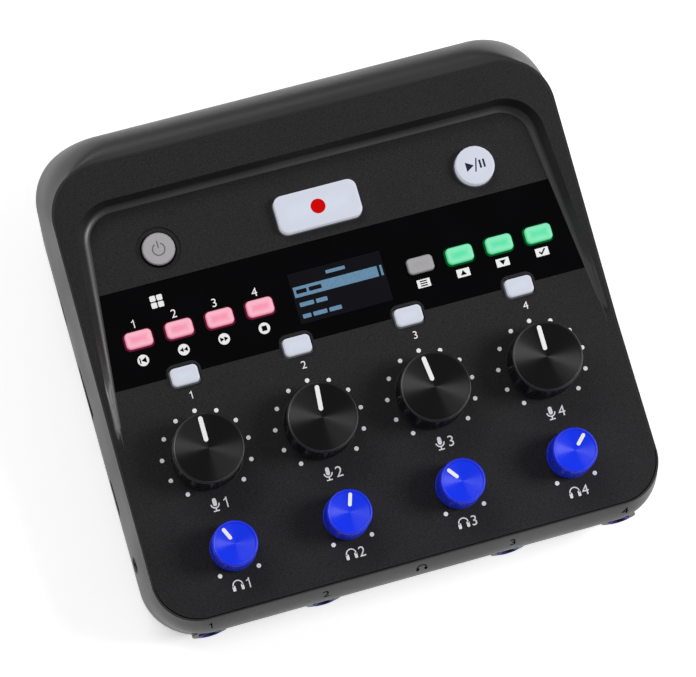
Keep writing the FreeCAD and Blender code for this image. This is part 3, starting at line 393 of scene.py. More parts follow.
# %% Inks
def ink(name, pale, deep, rough=0.5, glow=0.0, shine=0.5):
    """A screen-printed ink: nearly one colour, a little thinner here and there. It also draws the painted
    shade of cut marks.
    """
    finish, tree, shader, place = new_finish(name, {
        "Roughness": rough, "Emission Strength": glow, "Specular IOR Level": shine})
    screen = add(tree, "ShaderNodeTexNoise", {"Vector": place, "Scale": 1 / (0.6 * mm), "Detail": 2.0})
    shade = add(tree, "ShaderNodeMix", {
        0: screen.outputs[0], 6: to_linear(deep), 7: to_linear(pale)}, data_type="RGBA")
    tree.links.new(shade.outputs[2], shader.inputs["Base Color"])
    if glow:
        tree.links.new(shade.outputs[2], shader.inputs["Emission Color"])
    return finish


white_ink = ink("white_screen_ink", "ffffff", "f1f1f2")
red_ink = ink("red_screen_ink", "de0202", "cc0000", 0.6, shine=0.05)
dark_ink = ink("dark_screen_ink", "2a2b40", "1e1f30", 0.6, shine=0.1)
grey_ink = ink("grey_screen_ink", "6e6d6f", "5c5b5d")
# Painted shade: the cut marks on the front wall are drawn as near-black ink, for the shade in their cuts.
cut_mark_painted_shade = ink("painted_shade_of_cut_marks", "050505", "020202", 0.9, shine=0.0)
display_light = ink("lit_display_dots", "6288a3", "4a6c86", 0.4, 0.35)

# %% [markdown]
# ## Finishes: spun knobs
# The knobs are ABS. Their tops are turned in a lathe after moulding, which leaves rings finer than
# the eye can split. Light stretches across such rings, so the top shows bright wedges that stay put
# as the knob turns. The rings follow each knob's own UV map, turned: u goes round, v is the radius.
# Real rings are about 0.05 mm apart. They are drawn at 0.4 mm, about the render's finest.


# %% Spun tops
def spun(name, pale, deep, rough, **sockets):
    """A lathe-turned plastic face, rings along the UV map turned."""
    finish, tree, shader, place = new_finish(name, {
        "Roughness": rough, "Anisotropic": 0.95, "Anisotropic Rotation": 0.25, **sockets})
    turned = add(tree, "ShaderNodeUVMap", uv_map="turned")
    radius = add(tree, "ShaderNodeSeparateXYZ", {0: turned.outputs[0]})
    rings = add(tree, "ShaderNodeTexNoise", {
        "W": radius.outputs[1], "Scale": 25.0, "Detail": 2.0}, noise_dimensions="1D")
    shade = add(tree, "ShaderNodeMix", {
        0: rings.outputs[0], 6: to_linear(deep), 7: to_linear(pale)}, data_type="RGBA")
    cut = add(tree, "ShaderNodeBump", {"Height": rings.outputs[0], "Strength": 0.2, "Distance": 0.01 * mm})
    round_it = add(tree, "ShaderNodeTangent", direction_type="UV_MAP", uv_map="turned")
    tree.links.new(shade.outputs[2], shader.inputs["Base Color"])
    tree.links.new(cut.outputs[0], shader.inputs["Normal"])
    tree.links.new(round_it.outputs[0], shader.inputs["Tangent"])
    return finish


spun_black = spun("spun_black_abs", "0c0b0d", "040405", 0.38, **{"Specular IOR Level": 0.36})
spun_blue = spun("spun_blue_abs", "0a3cff", "0028f0", 0.38, IOR=1.5)
ribbed_black = moulded("ribbed_black_abs", "161517", "0c0c0d", 0.35, 0.01, 0.38)
ribbed_blue = moulded("ribbed_blue_abs", "0a34f6", "0426de", 0.35, 0.01, 0.40)
print("materials:", len(bpy.data.materials))

# %% [markdown]
# ## Dressing the mouldings
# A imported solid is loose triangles, so it would shade in facets. Each moulding is copied, its corners
# are merged, its faces are set smooth and its real edges kept sharp. A Weighted Normal modifier then
# lets the large faces rule, so the flats stay flat and the rolled shoulder flows.


# %% Dressing
def merged(nodes):
    """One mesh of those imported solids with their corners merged."""
    made = bmesh.new()
    for node in nodes:
        made.from_mesh(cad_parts[node].data)
    bmesh.ops.remove_doubles(made, verts=made.verts, dist=0.001 * mm)
    return made


def piece(name, mesh, finishes, body, stands_for=()):
    """A finished piece at the origin that rides on that body and stands for those solids."""
    mesh.name = name
    for finish in finishes:
        mesh.materials.append(finish)
    thing = bpy.data.objects.new(name, mesh)
    bpy.context.scene.collection.objects.link(thing)
    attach(thing, body)
    if stands_for:
        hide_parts(*stands_for)
    return thing


def smooth_out(made, sharp=32.0):
    """Sets faces smooth, and edges sharp where the faces meet at more than sharp degrees."""
    for face in made.faces:
        face.smooth = True
    for edge in made.edges:
        edge.smooth = not (edge.is_manifold and edge.calc_face_angle(0.0) > math.radians(sharp))


def dress(name, nodes, finish, body, sharp=32.0):
    """Those solids as one smooth piece in that finish."""
    made = merged(nodes)
    smooth_out(made, sharp)
    mesh = bpy.data.meshes.new(name)
    made.to_mesh(mesh)
    made.free()
    thing = piece(name, mesh, [finish], body, nodes)
    flow = thing.modifiers.new("flow", "WEIGHTED_NORMAL")
    flow.keep_sharp = True
    flow.weight = 80
    print(name, len(mesh.polygons), "faces")
    return thing


# %% Mouldings of the housing
cover = dress("cover_moulding", ["top_cover"], spark_black_abs, "housing")
cover.data.materials.append(smooth_black_abs)
flat_again = panel.inverted()
for face in cover.data.polygons:
    u, v, w = (flat_again @ face.center) / mm
    upward = (flat_again.to_3x3() @ face.normal).z
    if w > 0.02 and 0.05 < upward < 0.97 and abs(u) < 66.8 and v < 69.9:
        face.material_index = 1
tub = dress("tub_moulding", ["bottom_case"], satin_charcoal_pc, "housing")
dress("rear_moulding", ["rear_cover"], satin_charcoal_pc, "housing")
dress("strip_plate", ["control_strip"], acrylic_black, "housing")
dress("display_block", ["display_module"], display_dark, "housing")
dress("battery_door_moulding", ["battery_door"], satin_charcoal_pc, "battery_door")

# %% [markdown]
# ## The cove round the recess
# Where the recess wall meets the panel, the mould is hollow-ground, so wall and panel flow together
# and the corner catches a soft band of light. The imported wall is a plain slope. The cove is a wedge in
# its corner: an arc that touches the panel and the wall. It grows as the wall grows to the rear.


# %% Points along the wall's foot
def wall_foot():
    """(u, v), the way to the wall in plan and the run of the wall's slope, from front right to front left."""
    lean = math.atan(0.077)
    corner_v = 68.6 - 9.0
    corner_u = 64.9 - 0.077 * (corner_v - 6.0) - 9.0 / math.cos(lean)
    right = [(64.9 - 0.077 * (v - 6.0), v, math.cos(lean), math.sin(lean), 3.15) for v in range(12, 60, 4)]
    for step in range(17):
        turn = step / 16
        angle = lean + (math.pi / 2 - lean) * turn
        c, s = math.cos(angle), math.sin(angle)
        right.append((corner_u + 9.0 * c, corner_v + 9.0 * s, c, s, 3.15 - 1.95 * turn))
    left = [(-u, v, -nu, nv, run) for u, v, nu, nv, run in reversed(right)]
    return right + left


# %% The cove
cove = bmesh.new()
rings = []
for u, v, nu, nv, run in wall_foot():
    slope = math.atan2(0.3 + (v - 6.0) * 0.1207, run)
    reach = 0.1 + 0.024 * (v - 6.0)
    radius = reach / math.tan(slope / 2)
    section = [(0.03, -0.03)]
    for step in range(9):
        turn = slope * step / 8
        section.append((radius * math.sin(turn) - reach, radius * (1 - math.cos(turn)) + 0.01))
    rings.append([cove.verts.new(panel @ (Vector((u + a * nu, v + a * nv, b)) * mm)) for a, b in section])
for near, far in zip(rings, rings[1:]):
    for i in range(len(near)):
        j = (i + 1) % len(near)
        cove.faces.new((near[i], near[j], far[j], far[i]))
cove.faces.new(rings[0][::-1])
cove.faces.new(rings[-1])
bmesh.ops.recalc_face_normals(cove, faces=cove.faces)
smooth_out(cove, 40)
cove_mesh = bpy.data.meshes.new("cove")
cove.to_mesh(cove_mesh)
cove.free()
piece("recess_cove", cove_mesh, [smooth_black_abs], "housing")
print("cove:", len(cove_mesh.polygons), "faces")

# %% [markdown]
# ## The lip in the seam
# The tub has a moulded lip all round that closes the gap to the cover just under the surface, so the
# seam reads as a fine line and not as a slot. It runs a tenth of a millimetre below both. In front it
# lies a millimetre deeper, so there the seam is dark.

# %% The lip
lip = bmesh.new()
lip_rings = []
for inset, drop in ((0.02, 0.9), (0.28, 0.9), (0.28, 0.1), (0.02, 0.1)):
    ring = []
    for sx, sy, radius, y, start in ((1, 1, 13.5, 54.8, 0), (-1, 1, 13.5, 54.8, 90),
                                     (-1, -1, 11.5, -63.64, 180), (1, -1, 11.5, -63.64, 270)):
        for step in range(13):
            angle = math.radians(start + 7.5 * step)
            spot_x = sx * (66.9 - radius) + (radius + inset) * math.cos(angle)
            spot_y = y - sy * radius + (radius + inset) * math.sin(angle)
            ring.append([spot_x, spot_y])
        if start in (90, 270):
            ring.append([ring[-1][0], -17.513])
    for point in ring:
        slope = 0.08749 if point[1] <= -17.513 else 0.16914
        deeper = min(max((-52.0 - point[1]) / 6.0, 0.0), 1.0)
        point.append(33.769 + (point[1] + 17.513) * slope - drop - deeper)
    lip_rings.append([lip.verts.new(Vector(point) * mm) for point in ring])
for near, far in zip(lip_rings, lip_rings[1:] + lip_rings[:1]):
    for i in range(len(near)):
        j = (i + 1) % len(near)
        lip.faces.new((near[i], near[j], far[j], far[i]))
bmesh.ops.recalc_face_normals(lip, faces=lip.faces)
smooth_out(lip, 40)
lip_mesh = bpy.data.meshes.new("lip")
lip.to_mesh(lip_mesh)
lip.free()
piece("seam_lip", lip_mesh, [satin_charcoal_pc], "housing")
print("lip:", len(lip_mesh.polygons), "faces")

# %% Sockets, sliders, feet and screws
for n in range(1, 5):
    dress(f"xlr_shell_{n}", [f"xlr_jack_{n}"], moulded_black_pbt, "housing")
dress("headphone_jack_blocks", ["headphone_jacks"], moulded_black_pbt, "housing")
dress("phone_jack_block", ["phone_jack"], moulded_black_pbt, "housing")
dress("blue_jack_rings", ["jack_rings"], blue_pc_painted_shade, "housing")
dress("usb_shells", ["usb_ports"], nickel_steel, "housing")
dress("card_cage", ["card_socket"], stamped_steel, "housing")
for n in (1, 2):
    dress(f"slider_nub_{n}", [f"side_switch_{n}"], slider_black_pom, f"side_switch_{n}")
dress("case_screw_set", ["case_screws"], dark_steel, "housing")
dress("feet", ["rubber_feet"], foot_rubber, "housing")
dress("battery_contact_set", ["battery_contacts"], nickel_steel, "housing")

# %% [markdown]
# ## Parts inside
# The boards, switches, pots and contacts are only seen with the battery door open or in a cutaway.
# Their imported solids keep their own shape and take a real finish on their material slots.

# %% Parts inside
inside = {
    "battery_box": plain_black_nylon,
    "main_board": solder_mask,
    "lower_board": solder_mask,
    "input_board": solder_mask,
    "mic_pots": stamped_steel,
    "phones_pots": stamped_steel,
    "xlr_contacts": turned_brass,
    "switch_bases": stamped_steel,
    "button_switches": stamped_steel,
}
for n in range(1, 5):
    inside[f"mic_shaft_{n}"] = drawn_aluminium
    inside[f"phones_shaft_{n}"] = drawn_aluminium
for node, finish in inside.items():
    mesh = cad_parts[node].data
    if not mesh.materials:
        mesh.materials.append(finish)
    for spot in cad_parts[node].material_slots:
        spot.material = finish
print("parts inside:", len(inside))

# %% [markdown]
# ## Buttons
# A cap is a rounded rectangle that rises straight, turns over a soft edge and ends in a flat top.
# Under the cover it has a flange that keeps it in, and a stem for its switch. It is built as rings
# of the same outline, each moved in and up, so the attribute edge can be written ring by ring.


# %% Cap rings
def rounded(half_u, half_v, radius, steps=6):
    """Points of a rounded rectangle round the origin, anticlockwise, in mm."""
    points = []
    for corner, (su, sv) in enumerate(((1, 1), (-1, 1), (-1, -1), (1, -1))):
        for step in range(steps + 1):
            angle = math.pi / 2 * (corner + step / steps)
            points.append((su * (half_u - radius) + radius * math.cos(angle),
                           sv * (half_v - radius) + radius * math.sin(angle)))
    return points


def tower(made, layer, levels, half_u, half_v, radius, place):
    """Rings through (inset, height, edge) levels, closed at both ends."""
    rings = []
    for inset, height, value in levels:
        round_off = max(radius - inset, 0.12)
        ring = []
        for u, v in rounded(half_u - inset, half_v - inset, round_off):
            vert = made.verts.new(place @ (Vector((u, v, height)) * mm))
            vert[layer] = value
            ring.append(vert)
        rings.append(ring)
    for low, high in zip(rings, rings[1:]):
        for i, vert in enumerate(low):
            j = (i + 1) % len(low)
            made.faces.new((vert, low[j], high[j], high[i]))
    made.faces.new(rings[-1])
    made.faces.new(rings[0][::-1])


def cap(name, u, v, width, depth, radius, rise, finish):
    """A button's cap with its flange and stem, on its own body."""
    made = bmesh.new()
    layer = made.verts.layers.float.new("edge")
    place = on_panel(u, v)
    short = min(width, depth) / 2
    levels = [(-0.7, -3.3, 2.0), (-0.7, -2.5, 2.0), (0.0, -2.5, 2.0), (0.0, 0.05, 2.0)]
    levels.append((0.0, rise - 0.5, 1.25))
    for angle in (20, 40, 60, 80):
        turn = math.radians(angle)
        inset, lift = 0.5 * (1 - math.cos(turn)), 0.5 * math.sin(turn)
        levels.append((inset, rise - 0.5 + lift, 1.25 - 0.25 * angle / 80))
    for share in (0.3, 0.5, 0.7, 0.9):
        levels.append((short * share, rise, 1 - share))
    tower(made, layer, levels, width / 2, depth / 2, radius, place)
    stem = [(0.0, -4.15, 2.0), (0.0, -3.25, 2.0)]
    tower(made, layer, stem, 1.5, 1.5, 1.5, place)
    bmesh.ops.remove_doubles(made, verts=made.verts, dist=0.002 * mm)
    bmesh.ops.recalc_face_normals(made, faces=made.faces)
    smooth_out(made, 35)
    mesh = bpy.data.meshes.new(name)
    made.to_mesh(mesh)
    made.free()
    thing = piece(f"{name}_cap", mesh, [finish], name, [name])
    flow = thing.modifiers.new("flow", "WEIGHTED_NORMAL")
    flow.keep_sharp = True
    return thing


# %% All the caps
for k in range(4):
    first, pitch = 21.6, 10.75
    cap(f"pad_button_{k + 1}", -first - pitch * (3 - k), 33, 7.1, 4.4, 1.2, 1.3, pink_silicone)
    shine, slot = (grey_silicone, "button_grey") if k == 0 else (green_silicone, "button_green")
    cap(f"function_button_{k + 1}", first + pitch * k, 33, 7.1, 4.4, 1.2, 1.3, shine)
    cap(f"mute_button_{k + 1}", knob_columns[k], 20.9, 7.2, 4.7, 1.2, 1.3, white_silicone)
cap("record_button", 0, 54.5, 22.3, 10.2, 2.3, 2.3, white_silicone)
cap("play_button", 42.7, 54.5, 10.4, 10.4, 5.2, 2.3, white_silicone)
cap("power_button", -42.7, 54.5, 8.7, 8.7, 4.35, 0.9, grey_silicone)
print("caps: 15")

# %% [markdown]
# ## Ribs and dots by Geometry Nodes
# The knobs have fine upright ribs for grip, and dots are printed round the large ones. Both are a
# small round item repeated at equal angles, so one tree makes them: points on an arc, an item on
# each, leaned with the knob's side. The items are made real and get their material at the end.

# %% The tree of items on an arc
arc_tree = bpy.data.node_groups.new("items_on_an_arc", "GeometryNodeTree")
arc_inputs = (
    ("Count", "NodeSocketInt"), ("Arc Radius", "NodeSocketFloat"), ("First Angle", "NodeSocketFloat"),
    ("Step Angle", "NodeSocketFloat"), ("Item Sides", "NodeSocketInt"),
    ("Item Radius", "NodeSocketFloat"), ("Item Tip Radius", "NodeSocketFloat"),
    ("Item Length", "NodeSocketFloat"), ("Lean", "NodeSocketFloat"), ("Finish", "NodeSocketMaterial"))
for label, kind in arc_inputs:
    arc_tree.interface.new_socket(label, in_out="INPUT", socket_type=kind)
arc_tree.interface.new_socket("Geometry", in_out="OUTPUT", socket_type="NodeSocketGeometry")
given = add(arc_tree, "NodeGroupInput").outputs
index = add(arc_tree, "GeometryNodeInputIndex")
angle = add(arc_tree, "ShaderNodeMath", {
    0: index.outputs[0], 1: given["Step Angle"], 2: given["First Angle"]}, operation="MULTIPLY_ADD")
sine = add(arc_tree, "ShaderNodeMath", {0: angle.outputs[0]}, operation="SINE")
cosine = add(arc_tree, "ShaderNodeMath", {0: angle.outputs[0]}, operation="COSINE")
across = add(arc_tree, "ShaderNodeMath", {0: sine.outputs[0], 1: given["Arc Radius"]}, operation="MULTIPLY")
along = add(arc_tree, "ShaderNodeMath", {0: cosine.outputs[0], 1: given["Arc Radius"]}, operation="MULTIPLY")
spot = add(arc_tree, "ShaderNodeCombineXYZ", {0: across.outputs[0], 1: along.outputs[0]})
points = add(arc_tree, "GeometryNodePoints", {"Count": given["Count"], "Position": spot.outputs[0]})
back = add(arc_tree, "ShaderNodeMath", {0: angle.outputs[0], 1: -1.0}, operation="MULTIPLY")
leaned = add(arc_tree, "ShaderNodeCombineXYZ", {0: given["Lean"], 2: back.outputs[0]})
turned = add(arc_tree, "FunctionNodeEulerToRotation", {0: leaned.outputs[0]})
item = add(arc_tree, "GeometryNodeMeshCone", {
    "Vertices": given["Item Sides"], "Radius Top": given["Item Tip Radius"],
    "Radius Bottom": given["Item Radius"], "Depth": given["Item Length"]})
placed = add(arc_tree, "GeometryNodeInstanceOnPoints", {
    "Points": points.outputs[0], "Instance": item.outputs["Mesh"], "Rotation": turned.outputs[0]})
real = add(arc_tree, "GeometryNodeRealizeInstances", {0: placed.outputs[0]})
coloured = add(arc_tree, "GeometryNodeSetMaterial", {
    "Geometry": real.outputs[0], "Material": given["Finish"]})
add(arc_tree, "NodeGroupOutput", {0: coloured.outputs[0]})
print("tree nodes:", len(arc_tree.nodes))


# %% Running the tree
def on_an_arc(finish, place, **sizes):
    """The tree's mesh for those sizes (named as its inputs, in mm and degrees), put in place."""
    host = bpy.data.objects.new("host", bpy.data.meshes.new("host"))
    bpy.context.scene.collection.objects.link(host)
    run = host.modifiers.new("arc", "NODES")
    run.node_group = arc_tree
    wanted = {label.replace("_", " "): value for label, value in sizes.items()}
    for item in arc_tree.interface.items_tree:
        if item.in_out != "INPUT":
            continue
        if item.name == "Finish":
            run[item.identifier] = finish
        elif item.name in ("Count", "Item Sides"):
            run[item.identifier] = wanted[item.name]
        elif item.name in ("First Angle", "Step Angle", "Lean"):
            run[item.identifier] = math.radians(wanted[item.name])
        else:
            run[item.identifier] = wanted[item.name] * mm
    bpy.context.view_layer.update()
    graph = bpy.context.evaluated_depsgraph_get()
    mesh = bpy.data.meshes.new_from_object(host.evaluated_get(graph))
    bpy.data.objects.remove(host)
    mesh.transform(place)
    return mesh


def gathered(meshes):
    """Several meshes as one, each keeping its own material numbers."""
    made = bmesh.new()
    for mesh in meshes:
        made.from_mesh(mesh)
    mesh = bpy.data.meshes.new("gathered")
    made.to_mesh(mesh)
    made.free()
    return mesh


# %% [markdown]
# ## Knobs
# A knob is a turned shape: a hollow cup with a ribbed side that leans in a little, a crest round the
# top and a shallow cone that is cut in the lathe. The body is a profile spun in 96 steps, with its UV
# map written as it is spun, and the ribs stand on its side.


# %% Spinning a profile
def spin(profile, bright_from, bright_to, place, steps=96):
    """A closed shape spun from (radius, height) points in mm. Faces between the two point numbers
    get the second material. The UV map turned holds the angle and the radius."""
    made = bmesh.new()
    chart = made.loops.layers.uv.new("turned")
    rings = []
    for radius, height in profile:
        if radius == 0:
            rings.append([made.verts.new(place @ (Vector((0, 0, height)) * mm))])
            continue
        ring = []
        for i in range(steps):
            angle = 2 * math.pi * i / steps
            spot = Vector((radius * math.sin(angle), radius * math.cos(angle), height)) * mm
            ring.append(made.verts.new(place @ spot))
        rings.append(ring)
    for k, (low, high) in enumerate(zip(rings, rings[1:])):
        for i in range(steps):
            j = (i + 1) % steps
            corners = [(low[i % len(low)], i, k), (low[j % len(low)], i + 1, k),
                       (high[j % len(high)], i + 1, k + 1), (high[i % len(high)], i, k + 1)]
            kept = []
            for corner in corners:
                if corner[0] not in [c[0] for c in kept]:
                    kept.append(corner)
            face = made.faces.new([c[0] for c in kept])
            face.material_index = 1 if bright_from <= k < bright_to else 0
            for loop, (vert, turn, row) in zip(face.loops, kept):
                loop[chart].uv = (turn / steps, profile[row][0] / 10)
    bmesh.ops.recalc_face_normals(made, faces=made.faces)
    smooth_out(made, 28)
    mesh = bpy.data.meshes.new("spun")
    made.to_mesh(mesh)
    made.free()
    return mesh


def knob(name, node, body, u, v, base, top, height, ribs, finishes):
    """A ribbed knob with a spun top. base and top are the radii over the ribs."""
    floor, crest = 0.6, height
    lean = (base - top) / (height - floor)
    side = base - 0.2
    profile = [
        (0, crest - 1.9), (base - 1.3, crest - 1.9), (base - 1.3, floor), (base - 0.12, floor),
        (base, floor + 0.15), (base, floor + 0.55), (side - 0.02, floor + 0.6),
        (side - lean * (crest - 1.5), crest - 0.95), (top - 0.02, crest - 0.9), (top, crest - 0.45),
        (top - 0.1, crest - 0.2), (top - 0.3, crest - 0.03), (top - 0.42, crest),
        (top - 0.55, crest - 0.03), (top - 0.78, crest - 0.22), (top - 1.6, crest - 0.27),
        (top * 0.6, crest - 0.4), (top * 0.3, crest - 0.5), (0.5, crest - 0.59), (0, crest - 0.6)]
    place = on_panel(u, v)
    body_mesh = spin(profile, len(profile) - 6, len(profile), place)
    rib_mesh = on_an_arc(
        finishes[0], place @ Matrix.Translation((0, 0, (floor + 0.58) * mm)), Count=ribs,
        Arc_Radius=side - 0.08, First_Angle=0, Step_Angle=360 / ribs, Item_Sides=6, Item_Radius=0.26,
        Item_Tip_Radius=0.26, Item_Length=crest - floor - 1.5, Lean=math.degrees(math.atan(lean)))
    return piece(name, gathered([body_mesh, rib_mesh]), finishes, body, [node])


# %% All the knobs
for k, u in enumerate(knob_columns, 1):
    knob(f"mic_level_knob_{k}", f"mic_knob_{k}", f"mic_dial_{k}", u, 0, 9.5, 9.25, 10.5, 76,
         [ribbed_black, spun_black])
    knob(f"phones_level_knob_{k}", f"phones_knob_{k}", f"phones_dial_{k}", u, -25, 6.05, 5.85, 10.0, 52,
         [ribbed_blue, spun_blue])
print("knobs: 8")

# %% [markdown]
# ## Prints
# Marks are white ink, 0.03 mm thick on the real panel. A flat curve fills closed outlines and leaves
# holes where one lies in another, so pictograms are lists of outlines. Plain numerals are text. Both
# become meshes before they are put in place.


# %% Flat prints
def flat(loops, place, thick=0.05):
    """A thin solid of closed outlines in mm."""
    curve = bpy.data.curves.new("print", "CURVE")
    curve.dimensions = "2D"
    curve.fill_mode = "BOTH"
    curve.extrude = thick / 2 * mm
    for loop in loops:
        line = curve.splines.new("POLY")
        line.points.add(len(loop) - 1)
        for point, (x, y) in zip(line.points, loop):
            point.co = (x * mm, y * mm, 0, 1)
        line.use_cyclic_u = True
    thing = bpy.data.objects.new("print", curve)
    mesh = bpy.data.meshes.new_from_object(thing)
    mesh.transform(place @ Matrix.Translation((0, 0, 0.15 * thick * mm)))
    bpy.data.objects.remove(thing)
    return mesh


def numeral(figure, tall, place, thick=0.05):
    """A plain numeral of that height in mm, centred. The font's 1 is a bare stroke, so it is drawn."""
    if figure == "1":
        one = [(0.02, -0.5), (0.14, -0.5), (0.14, 0.5), (0.05, 0.5), (-0.04, 0.36), (-0.2, 0.28),
               (-0.2, 0.18), (0.02, 0.27)]
        return flat([[(x * tall, y * tall) for x, y in one]], place, thick)
    text = bpy.data.curves.new("numeral", "FONT")
    text.body = figure
    text.size = 1.0
    thing = bpy.data.objects.new("numeral", text)
    mesh = bpy.data.meshes.new_from_object(thing)
    bpy.data.objects.remove(thing)
    xs = [v.co.x for v in mesh.vertices]
    ys = [v.co.y for v in mesh.vertices]
    middle = Vector(((min(xs) + max(xs)) / 2, (min(ys) + max(ys)) / 2, 0))
    scale = tall * mm / (max(ys) - min(ys))
    made = bmesh.new()
    made.from_mesh(mesh)
    bmesh.ops.translate(made, verts=made.verts, vec=-middle)
    bmesh.ops.scale(made, verts=made.verts, vec=(scale, scale, 1))
    raised = bmesh.ops.extrude_face_region(made, geom=made.faces[:])
    lifted = [v for v in raised["geom"] if isinstance(v, bmesh.types.BMVert)]
    bmesh.ops.translate(made, verts=lifted, vec=(0, 0, 0.65 * thick * mm))
    for vert in set(made.verts) - set(lifted):
        vert.co.z = -0.35 * thick * mm
    bmesh.ops.recalc_face_normals(made, faces=made.faces)
    made.transform(place)
    made.to_mesh(mesh)
    made.free()
    return mesh


# %% Outlines
def disc(x, y, radius, steps=32):
    return [(x + radius * math.cos(2 * math.pi * i / steps),
             y + radius * math.sin(2 * math.pi * i / steps)) for i in range(steps)]


def bar(x0, y0, x1, y1, soft=0.0):
    """A rectangle, its corners rounded by soft."""
    cx, cy = (x0 + x1) / 2, (y0 + y1) / 2
    if not soft:
        return [(x0, y0), (x1, y0), (x1, y1), (x0, y1)]
    return [(cx + u, cy + v) for u, v in rounded((x1 - x0) / 2, (y1 - y0) / 2, soft, 4)]


def band(x, y, radius, start, end, width, steps=28):
    """A stroke along an arc, from start to end degrees anticlockwise."""
    angles = [math.radians(start + (end - start) * i / steps) for i in range(steps + 1)]
    outer = [(x + (radius + width / 2) * math.cos(a), y + (radius + width / 2) * math.sin(a)) for a in angles]
    inner = [(x + (radius - width / 2) * math.cos(a), y + (radius - width / 2) * math.sin(a)) for a in angles]
    return outer + inner[::-1]


def stroke(x0, y0, x1, y1, width):
    """A straight stroke with round ends."""
    length = math.hypot(x1 - x0, y1 - y0)
    ux, uy = (x1 - x0) / length, (y1 - y0) / length
    loop = []
    for px, py, start in ((x1, y1, -90), (x0, y0, 90)):
        for i in range(9):
            a = math.radians(start + 180 * i / 8)
            c, s = math.cos(a) * width / 2, math.sin(a) * width / 2
            loop.append((px + c * ux - s * uy, py + c * uy + s * ux))
    return loop


microphone = [bar(-0.52, -0.35, 0.52, 1.75, 0.5), band(0, 0.25, 1.05, 180, 360, 0.32),
              bar(-0.17, -1.45, 0.17, -0.95), bar(-0.8, -1.75, 0.8, -1.45)]
headphones = [band(0, 0, 1.25, -12, 192, 0.3), bar(-1.5, -1.35, -0.72, 0.1, 0.25),
              bar(0.72, -1.35, 1.5, 0.1, 0.25)]
print("pictograms drawn")

# %% [markdown]
# ## Marks on the cover
# Eleven dots round each large knob show the level, and two at each small one show the ends of its
# turn. A microphone or a pair of headphones with a plain number says which channel a knob is for.

# %% Dots, pictograms and numbers
cover_marks = []
for k, u in enumerate(knob_columns, 1):
    cover_marks.append(on_an_arc(
        white_ink, on_panel(u, 0, 0.005), Count=11, Arc_Radius=11.5, First_Angle=-140, Step_Angle=28,
        Item_Sides=24, Item_Radius=0.58, Item_Tip_Radius=0.58, Item_Length=0.06, Lean=0))
    cover_marks.append(on_an_arc(
        white_ink, on_panel(u, -25, 0.005), Count=2, Arc_Radius=7.96, First_Angle=140.1, Step_Angle=79.8,
        Item_Sides=24, Item_Radius=0.58, Item_Tip_Radius=0.58, Item_Length=0.06, Lean=0))
    cover_marks.append(flat(microphone, on_panel(u - 1.4, -13.2)))
    cover_marks.append(numeral(str(k), 2.75, on_panel(u + 1.45, -13.25)))
    cover_marks.append(flat(headphones, on_panel(u - 1.35, -34.5)))
    cover_marks.append(numeral(str(k), 2.6, on_panel(u + 1.45, -34.55)))
    cover_marks.append(numeral(str(k), 2.0, on_panel(u + 0.3, 15.7)))
piece("cover_print", gathered(cover_marks), [white_ink], "housing")

# %% [markdown]
# ## Marks cut in the front wall
# Above each headphone socket is its plain number, and in the middle a pair of headphones. They are cut
# into the rolled wall. Their darkness is painted shade of the cuts: each flat near-black mark is split finely
# and laid on, so it follows the wall.


# %% Laying a mark on the front wall
wall_form = BVHTree.FromBMesh(merged(["bottom_case"]))


def on_front_wall(mesh, x, z):
    """A flat mark laid on the front wall with its middle at (x, z) in mm."""
    made = bmesh.new()
    made.from_mesh(mesh)
    bmesh.ops.triangulate(made, faces=made.faces)
    bmesh.ops.subdivide_edges(made, edges=made.edges, cuts=2, use_grid_fill=True)
    for vert in made.verts:
        start = Vector((x * mm + vert.co.x, -0.2, z * mm + vert.co.y))
        hit = wall_form.ray_cast(start, Vector((0, 1, 0)))[0]
        vert.co = Vector((start.x, hit.y - vert.co.z, start.z))
    bmesh.ops.recalc_face_normals(made, faces=made.faces)
    made.to_mesh(mesh)
    made.free()
    return mesh


# %% The marks
upright = Matrix.Identity(4)
cut_marks = []
for k, x in enumerate((-55.5, -25.0, 25.0, 55.5), 1):
    cut_marks.append(on_front_wall(numeral(str(k), 2.8, upright), x, 26.6))
cut_marks.append(on_front_wall(flat(headphones, upright), 0.5, 26.6))
piece("front_marks", gathered(cut_marks), [cut_mark_painted_shade], "housing")

# %% [markdown]
# ## Pointers
# A white line is printed on each knob's cone and turns with it. It is a thin solid that follows the
# cone, so that its whole length lies on the surface at every angle.


# %% Pointer lines
def pointer(name, body, u, v, height, near, far, width, turn):
    """A round-ended line from near to far along the knob's cone, turned clockwise by turn degrees."""
    place = on_panel(u, v, 0, -turn)
    mesh = flat([stroke(0, near + width / 2, 0, far - width / 2, width)], Matrix.Identity(4), 0.12)
    for vert in mesh.vertices:
        radius = math.hypot(vert.co.x, vert.co.y) / mm
        rise = height - 0.6 + 0.33 * radius / far
        vert.co.z += rise * mm
    mesh.transform(place)
    return piece(name, mesh, [white_ink], body)


for k, (u, mic_turn, phones_turn) in enumerate(zip(knob_columns, (0, 5, -7, 0), (-25, 18, -38, 45)), 1):
    pointer(f"mic_pointer_{k}", f"mic_dial_{k}", u, 0, 10.5, 1.7, 8.3, 1.15, mic_turn)
    pointer(f"phones_pointer_{k}", f"phones_dial_{k}", u, -25, 10.0, 1.4, 4.9, 0.95, phones_turn)

# %% [markdown]
# ## Marks on the strip
# Below the pads are round icons for the player, and below the function buttons square ones for
# the menu. They are white with the symbol left open, so the black strip shows through.

# %% Strip icons
def triangle(x, y, half, point):
    """A triangle that points right, left, up or down."""
    shape = {"right": [(-0.8, -1), (0.9, 0), (-0.8, 1)], "left": [(0.8, -1), (-0.9, 0), (0.8, 1)],
             "up": [(-1, -0.7), (1, -0.7), (0, 0.85)], "down": [(-1, 0.7), (1, 0.7), (0, -0.85)]}[point]
    return [(x + half * a, y + half * b) for a, b in shape]


